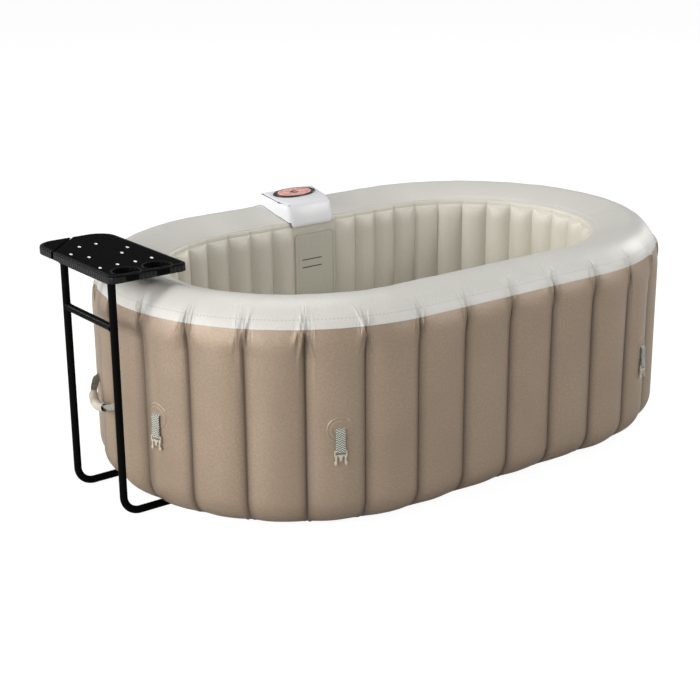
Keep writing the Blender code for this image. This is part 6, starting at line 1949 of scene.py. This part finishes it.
@dataclass
class Fittings:
    """Turned fittings: the valves and their caps, the filter, the nozzle, the gland and the bubble ring."""

    flange_y: float = 0.611467
    valve_x: float = -0.305384
    valves: tuple[tuple[str, str, float], ...] = (
        ("drain", "drain_cap", 0.150), ("air", "air_valve_cap", 0.440)
    )
    panel_face: float = 0.3947
    filter_place: tuple[float, float] = (-0.014, 0.160)
    nozzle_place: tuple[float, float] = (0.068, 0.160)
    gland_place: tuple[float, float] = (-0.095, 0.150)
    pleats: int = 48
    ring_tube: float = 0.008
    ring_height: float = 0.0126
    ring_clear: float = 0.016
    lid_low: float = 0.0118
    pleat_start: float = 0.0083
    pleat_depth: float = 0.0042
    gland_start: float = 0.6368

    def turned(
        self, name: str, node: str, profile: Sequence[Numbers], centre: Numbers, axis: Numbers,
        sides: int = 64, slot: Slot = Slot.CREAM_PLASTIC
    ) -> None:
        """A turned fitting on the tub, from a profile that closes on itself, in place of a CAD node."""
        rings = lathe_rings(profile, centre, axis, sides)
        settle(make_surface(name, rings, True, sharp=38), "tub", slot, [node])

    def ribbed(
        self, profile: Sequence[Numbers], centre: Numbers, axis: Numbers, ribs: int,
        steps: int = 6, power: float = 0.6
    ) -> Array:
        """Rings of a turned piece with ribs or pleats.

        The radius of each row loses that row's rib height times a power of a sine of the turn.

        Args:
            profile: rows of radius, height along the axis, and rib height.
            centre: where the axis starts.
            axis: its direction.
            ribs: how many ribs there are round it.
            steps: points in each rib.
            power: the sine's power; below one, the ribs are broad and their valleys narrow.
        Returns:
            The rings, as (row, side, 3).
        """
        table = np.array(profile)
        rings = lathe_rings(table[:, :2], centre, axis, ribs * steps)
        turn = np.linspace(0, TURN, ribs * steps, endpoint=False)
        grow = np.abs(np.sin(turn * ribs / 2)) ** power
        spoke = rings - (np.asarray(centre) + table[:, 1, None] * np.asarray(axis))[:, None]
        size = np.maximum(np.linalg.norm(spoke, axis=-1, keepdims=True), 1e-9)
        return rings - spoke / size * table[:, 2, None, None] * grow[None, :, None]

    def lid(
        self, name: str, profile: Sequence[Numbers], centre: Numbers, axis: Numbers, ribs: int
    ) -> Piece:
        """A turned cap whose side carries ribs."""
        return make_surface(name, self.ribbed(profile, centre, axis, ribs), *SOLID, sharp=38)

    def valve(self, name: str, cap: str, z: float) -> None:
        """A valve's flange and body, and its ribbed cap, a CAD node, with a bar to turn it by."""
        centre = (self.valve_x, self.flange_y, z)
        body = (
            (0.014, -0.020), (0.019, -0.020), (0.019, 0.0), (0.0312, 0.0), (0.032, 0.0008), (0.032, 0.0018),
            (0.0308, 0.0028), (0.0255, 0.0030), (0.0215, 0.0032), (0.0210, 0.0042), (0.0210, 0.0112),
            (0.0205, 0.0115), (0.014, 0.0115), (0.014, -0.020),
        )
        self.turned(f"{name}_valve_ring", f"{name}_valve_body", body, centre, (0, 1, 0))
        high = self.lid_low
        side = raised((
            (0.0010, 0.0060, 0), (0.0215, 0.0060, 0), (0.0233, 0.0054, 0.0004), (0.0240, 0.0042, 0.0009),
            (0.0240, -0.0050, 0.0009), (0.0236, -0.0058, 0.0004), (0.0216, -0.0058, 0),
        ), high)
        lid = self.lid(f"{name}_lid", side, centre, (0, 1, 0), 36)
        grip = rounded_outline((-0.020, -0.004), (0.020, 0.004), (0.0038,) * 4, 5)
        above = Matrix.Translation((self.valve_x, self.flange_y + high + 0.0055, z))
        levels = [(0, 0), (0, 0.0042), (0.0006, 0.0052), (0.0016, 0.0055)]
        rings = plate_rings(grip, levels, above @ Matrix.Rotation(-QUARTER, 4, "X"))
        bar = make_surface(f"{name}_bar", rings, *SOLID)
        settle(joined([lid, bar], f"{name}_valve_lid"), f"{name}_cap_body", Slot.CREAM_PLASTIC, [cap])

    def filter(self) -> None:
        """The filter: its base on the panel, the pleated cartridge and the ribbed end cap."""
        x, z = self.filter_place
        axis = (0, -1, 0)
        face = (x, self.panel_face, z)
        base = (
            (0.011, -0.053), (0.016, -0.053), (0.016, 0.0), (0.045, 0.0), (0.046, 0.001), (0.046, 0.006),
            (0.0445, 0.0078), (0.030, 0.0080), (0.0185, 0.0082), (0.018, 0.0090), (0.018, 0.0195),
            (0.0172, 0.0200), (0.011, 0.0200), (0.011, -0.053),
        )
        self.turned("filter_mount", "filter_base", base, face, axis)
        start = self.pleat_start
        deep = self.pleat_depth
        rows = (
            (0.0195, 0, 0), (0.0375, 0, 0), (0.0415, 0.0004, 0), (0.0415, 0.0042, 0), (0.0375, 0.0046, 0),
            (0.0415, 0.0050, deep), (0.0418, 0.020, deep), (0.0418, 0.046, deep), (0.0415, 0.0610, deep),
            (0.0375, 0.0614, 0), (0.0415, 0.0618, 0), (0.0415, 0.0656, 0), (0.0375, 0.0660, 0),
            (0.0195, 0.0660, 0), (0.0195, 0, 0),
        )
        rings = self.ribbed(raised(rows, start), face, axis, self.pleats, 8, 1.0)
        cartridge = make_surface("pleated_cartridge", rings, True, sharp=50)
        settle(cartridge, "cartridge_body", Slot.CREAM, ["filter_cartridge"], SOLID_SKINS[Slot.CREAM])
        low = start + 0.0663
        cap = (
            (0.001, -0.0065, 0), (0.0184, -0.0065, 0), (0.0184, 0, 0), (0.0415, 0, 0),
            (0.0430, 0.0008, 0.0008), (0.0430, 0.0056, 0.0008), (0.0418, 0.0068, 0.0004),
            (0.036, 0.0070, 0), (0.034, 0.0058, 0),
            (0.001, 0.0055, 0),
        )
        lid = self.lid("filter_lid", raised(cap, low), face, axis, 40)
        settle(lid, "filter_cap_body", Slot.CREAM_PLASTIC, ["filter_cap"])

    def nozzle(self) -> None:
        """The return nozzle: a dished flange round its bore."""
        x, z = self.nozzle_place
        profile = (
            (0.009, -0.053), (0.013, -0.053), (0.013, 0.0), (0.0212, 0.0), (0.022, 0.001), (0.022, 0.004),
            (0.0205, 0.0064), (0.018, 0.0070), (0.015, 0.0060), (0.0105, 0.0045), (0.009, 0.0030),
            (0.009, -0.053),
        )
        self.turned("water_nozzle", "return_nozzle", profile, (x, self.panel_face, z), (0, -1, 0), 48)

    def gland(self) -> None:
        """The power lead's gland: a ribbed tapering collar with its bore open."""
        x, z = self.gland_place
        profile = [(0.004, -0.010), (0.0055, -0.010), (0.0055, 0.0), (0.0105, 0.0), (0.011, 0.0008)]
        for step in range(5):
            high = 0.003 + step * 0.0040
            wide = 0.0108 - step * 0.0009
            profile += [
                (wide, high), (wide - 0.0016, high + 0.0010), (wide - 0.0016, high + 0.0024),
                (wide - 0.0006, high + 0.0032)
            ]
        profile += [(0.0056, 0.0238), (0.0050, 0.0240), (0.004, 0.0240), (0.004, -0.010)]
        place = (x, self.gland_start, z)
        self.turned("lead_gland", "power_gland", profile, place, (0, 1, 0), 40, Slot.RUBBER)

    def bubble_ring(self, skins: TubSkins) -> None:
        """The air ring on the basin's floor: a soft tube along the stadium, a little waisted at its holes."""
        radius = skins.basin_radius - self.ring_clear
        length = skins.plan.perimeter(radius)
        stations = np.linspace(0, length, 720, endpoint=False)
        path = skins.plan.points(stations, radius, np.full(720, radius), np.full(720, self.ring_height))
        size = self.ring_tube - 0.0005 * np.abs(np.sin(stations * math.pi * 60 / length)) ** 8
        rings = tube_rings(path, size, 20, True)
        piece = make_surface("air_ring", np.concatenate([rings, rings[:1]]), True)
        merge(piece.data)
        settle(piece, "tub", Slot.GREY, ["bubble_ring"])

    def build(self, skins: TubSkins) -> None:
        """Builds every turned fitting."""
        for name, cap, z in self.valves:
            self.valve(name, cap, z)
        self.filter()
        self.nozzle()
        self.gland()
        self.bubble_ring(skins)


@dataclass
class SoftEdges:
    """CAD nodes that keep their form and get rounded edges: merged copies with a live bevel."""

    widths: dict[str, float] = field(
        default_factory=lambda: {"service_cover": 0.0016, "equipment_case": 0.0008, "tray_bracket": 0.0007}
    )

    def build(self, frame: dict) -> None:
        """Copies each node, merges its triangles into faces and bevels its edges."""
        nodes = {item["node"]: item["material_slot"] for item in frame["record"]["subparts"]}
        for name, width in self.widths.items():
            shape = bmesh.new()
            shape.from_mesh(frame["nodes"][name].data)
            bmesh.ops.remove_doubles(shape, verts=shape.verts, dist=DOUBLED)
            bmesh.ops.dissolve_limit(
                shape, angle_limit=math.radians(2), verts=shape.verts, edges=shape.edges
            )
            piece = holder(f"{name}_rounded", shape)
            piece.data.shade_smooth()
            bevel = piece.modifiers.new("edges", "BEVEL")
            bevel.width, bevel.segments = width, 3
            bevel.limit_method, bevel.angle_limit = "ANGLE", math.radians(40)
            bevel.harden_normals = True
            bevel.use_clamp_overlap = True
            piece.data.set_sharp_from_angle(angle=math.radians(60))
            body = "stand" if name == "tray_bracket" else "tub"
            settle(piece, body, Slot(nodes[name]), [name])


# The studio


@dataclass
class Studio:
    """The floor, the lamps, the white surround and the camera at the photograph's place."""

    camera_place: tuple[float, float, float] = (-2.841, -3.542, 1.758)
    yaw: float = math.radians(37.28)
    pitch: float = math.radians(18.29)
    roll: float = math.radians(-0.36)
    focal_pixels: float = 1491.0
    image_pixels: float = 700.0
    sensor: float = 36.0
    surround: float = 0.27
    aim: tuple[float, float, float] = (0.0, 0.0, 0.3)
    lamp_size: float = 2.6
    lamps: tuple[tuple[str, tuple[float, float, float], float], ...] = (
        ("left", (-9.0, 1.0, 3.2), 420.0),
        ("low_left", (-8.5, -3.0, 1.8), 190.0),
        ("near_left", (-7.6, -6.2, 4.6), 190.0),
        ("near_right", (6.5, -7.0, 4.0), 320.0),
        ("right", (9.5, 0.5, 3.5), 250.0),
        ("far_left", (-5.0, 8.0, 4.0), 300.0),
        ("top", (0.0, 0.5, 8.5), 210.0),
    )
    shadow_share: float = 0.30
    floor_glow: float = 1.32

    def camera(self) -> None:
        """The camera, its axes worked out from its yaw, pitch and roll."""
        forward = np.array(
            [
                math.sin(self.yaw) * math.cos(self.pitch), math.cos(self.yaw) * math.cos(self.pitch),
                -math.sin(self.pitch)
            ]
        )
        level = np.array([math.cos(self.yaw), -math.sin(self.yaw), 0.0])
        up = np.cross(level, forward)
        right = level * math.cos(self.roll) + up * math.sin(self.roll)
        above = up * math.cos(self.roll) - level * math.sin(self.roll)
        data = bpy.data.cameras.new("photo_camera")
        data.sensor_width = self.sensor
        data.lens = self.focal_pixels / self.image_pixels * self.sensor
        data.clip_end = 50
        item = placed("photo_camera", data)
        turn = Matrix((right, above, -forward)).transposed().to_4x4()
        item.matrix_world = Matrix.Translation(self.camera_place) @ turn
        bpy.context.scene.camera = item

    def lamp(self, name: str, place: Numbers, aim: Numbers, size: float, watts: float) -> None:
        """One soft square lamp that looks at a point."""
        data = bpy.data.lights.new(name, "AREA")
        data.energy, data.size = watts, size
        item = placed(name, data)
        item.location = place
        item.rotation_euler = (Vector(aim) - Vector(place)).to_track_quat("-Z", "Y").to_euler()

    def world(self) -> None:
        """An even surround, white to the camera and through glass."""
        world = bpy.data.worlds.new("studio")
        bpy.context.scene.world = world
        world.use_nodes = True
        tree = world.node_tree
        back = tree.nodes["Background"]
        path = tree.nodes.new("ShaderNodeLightPath")
        seen = tree.nodes.new("ShaderNodeMath")
        seen.operation = "MAXIMUM"
        tree.links.new(path.outputs["Is Camera Ray"], seen.inputs[0])
        tree.links.new(path.outputs["Is Transmission Ray"], seen.inputs[1])
        scale = tree.nodes.new("ShaderNodeMapRange")
        tree.links.new(seen.outputs[0], scale.inputs["Value"])
        scale.inputs["To Min"].default_value = self.surround
        scale.inputs["To Max"].default_value = 1.0
        back.inputs["Color"].default_value = (1.0, 1.0, 1.0, 1.0)
        tree.links.new(scale.outputs["Result"], back.inputs["Strength"])

    def floor(self) -> None:
        """A wide pale floor that keeps a light shadow and is white to the camera elsewhere."""
        steps = np.linspace(-30, 30, 13)
        x, y = np.meshgrid(steps, steps)
        rings = np.stack([x, y, np.full_like(x, -0.0004)], -1)
        floor = make_surface("studio_floor", rings)
        paint = Paint("studio_floor")
        cloud = paint.noise(paint.place(False), 2.0, 2.0)
        paint.set(Base_Color=paint.blend(cloud, (0.48, 0.48, 0.48), (0.52, 0.52, 0.52)), Roughness=0.9)
        glow = paint.add("Emission")
        paint.feed(glow.inputs["Color"], (1.0, 1.0, 1.0, 1.0))
        paint.feed(glow.inputs["Strength"], self.floor_glow)
        path = paint.add("LightPath")
        seen = paint.value("MAXIMUM", path.outputs["Is Camera Ray"], path.outputs["Is Transmission Ray"])
        share = paint.value("MULTIPLY", seen, 1.0 - self.shadow_share)
        mix = paint.add("MixShader")
        paint.feed(mix.inputs[0], share)
        paint.feed(mix.inputs[1], paint.shader.outputs[0])
        paint.feed(mix.inputs[2], glow.outputs[0])
        output = next(node for node in paint.tree.nodes if node.type == "OUTPUT_MATERIAL")
        paint.feed(output.inputs["Surface"], mix.outputs[0])
        floor.data.materials.append(paint.material)

    def build(self) -> None:
        """Sets the view, the camera, the floor, the lamps and the surround."""
        bpy.context.scene.view_settings.view_transform = "Standard"
        self.camera()
        self.world()
        self.floor()
        for name, place, watts in self.lamps:
            self.lamp(f"{name}_lamp", place, self.aim, self.lamp_size, watts)


def dress_remaining(frame: dict) -> None:
    """Gives every CAD node that stays in sight its own finish."""
    slots = {item["node"]: item["material_slot"] for item in frame["record"]["subparts"]}
    for name, node in frame["nodes"].items():
        if not node.hide_render:
            WARDROBE.dress_node(node, Slot(slots[name]))
            LOG.info("%s keeps its CAD form", name)


def main() -> None:
    """Builds the scene in order."""
    logging.basicConfig(level=logging.INFO, format="%(name)s %(message)s")
    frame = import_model()
    Studio().build()
    skins = TubSkins()
    skins.build()
    LevelPanel(skins).build()
    ControlBox().build(skins)
    for index in range(1, 7):
        CoverStrap(index).build(skins, frame["record"])
    for side in Side:
        CarryHandle(side).build(frame)
    DrinkTray().build()
    TrayStand().build()
    Fittings().build(skins)
    SoftEdges().build(frame)
    dress_remaining(frame)


if __name__ == "__main__":
    main()
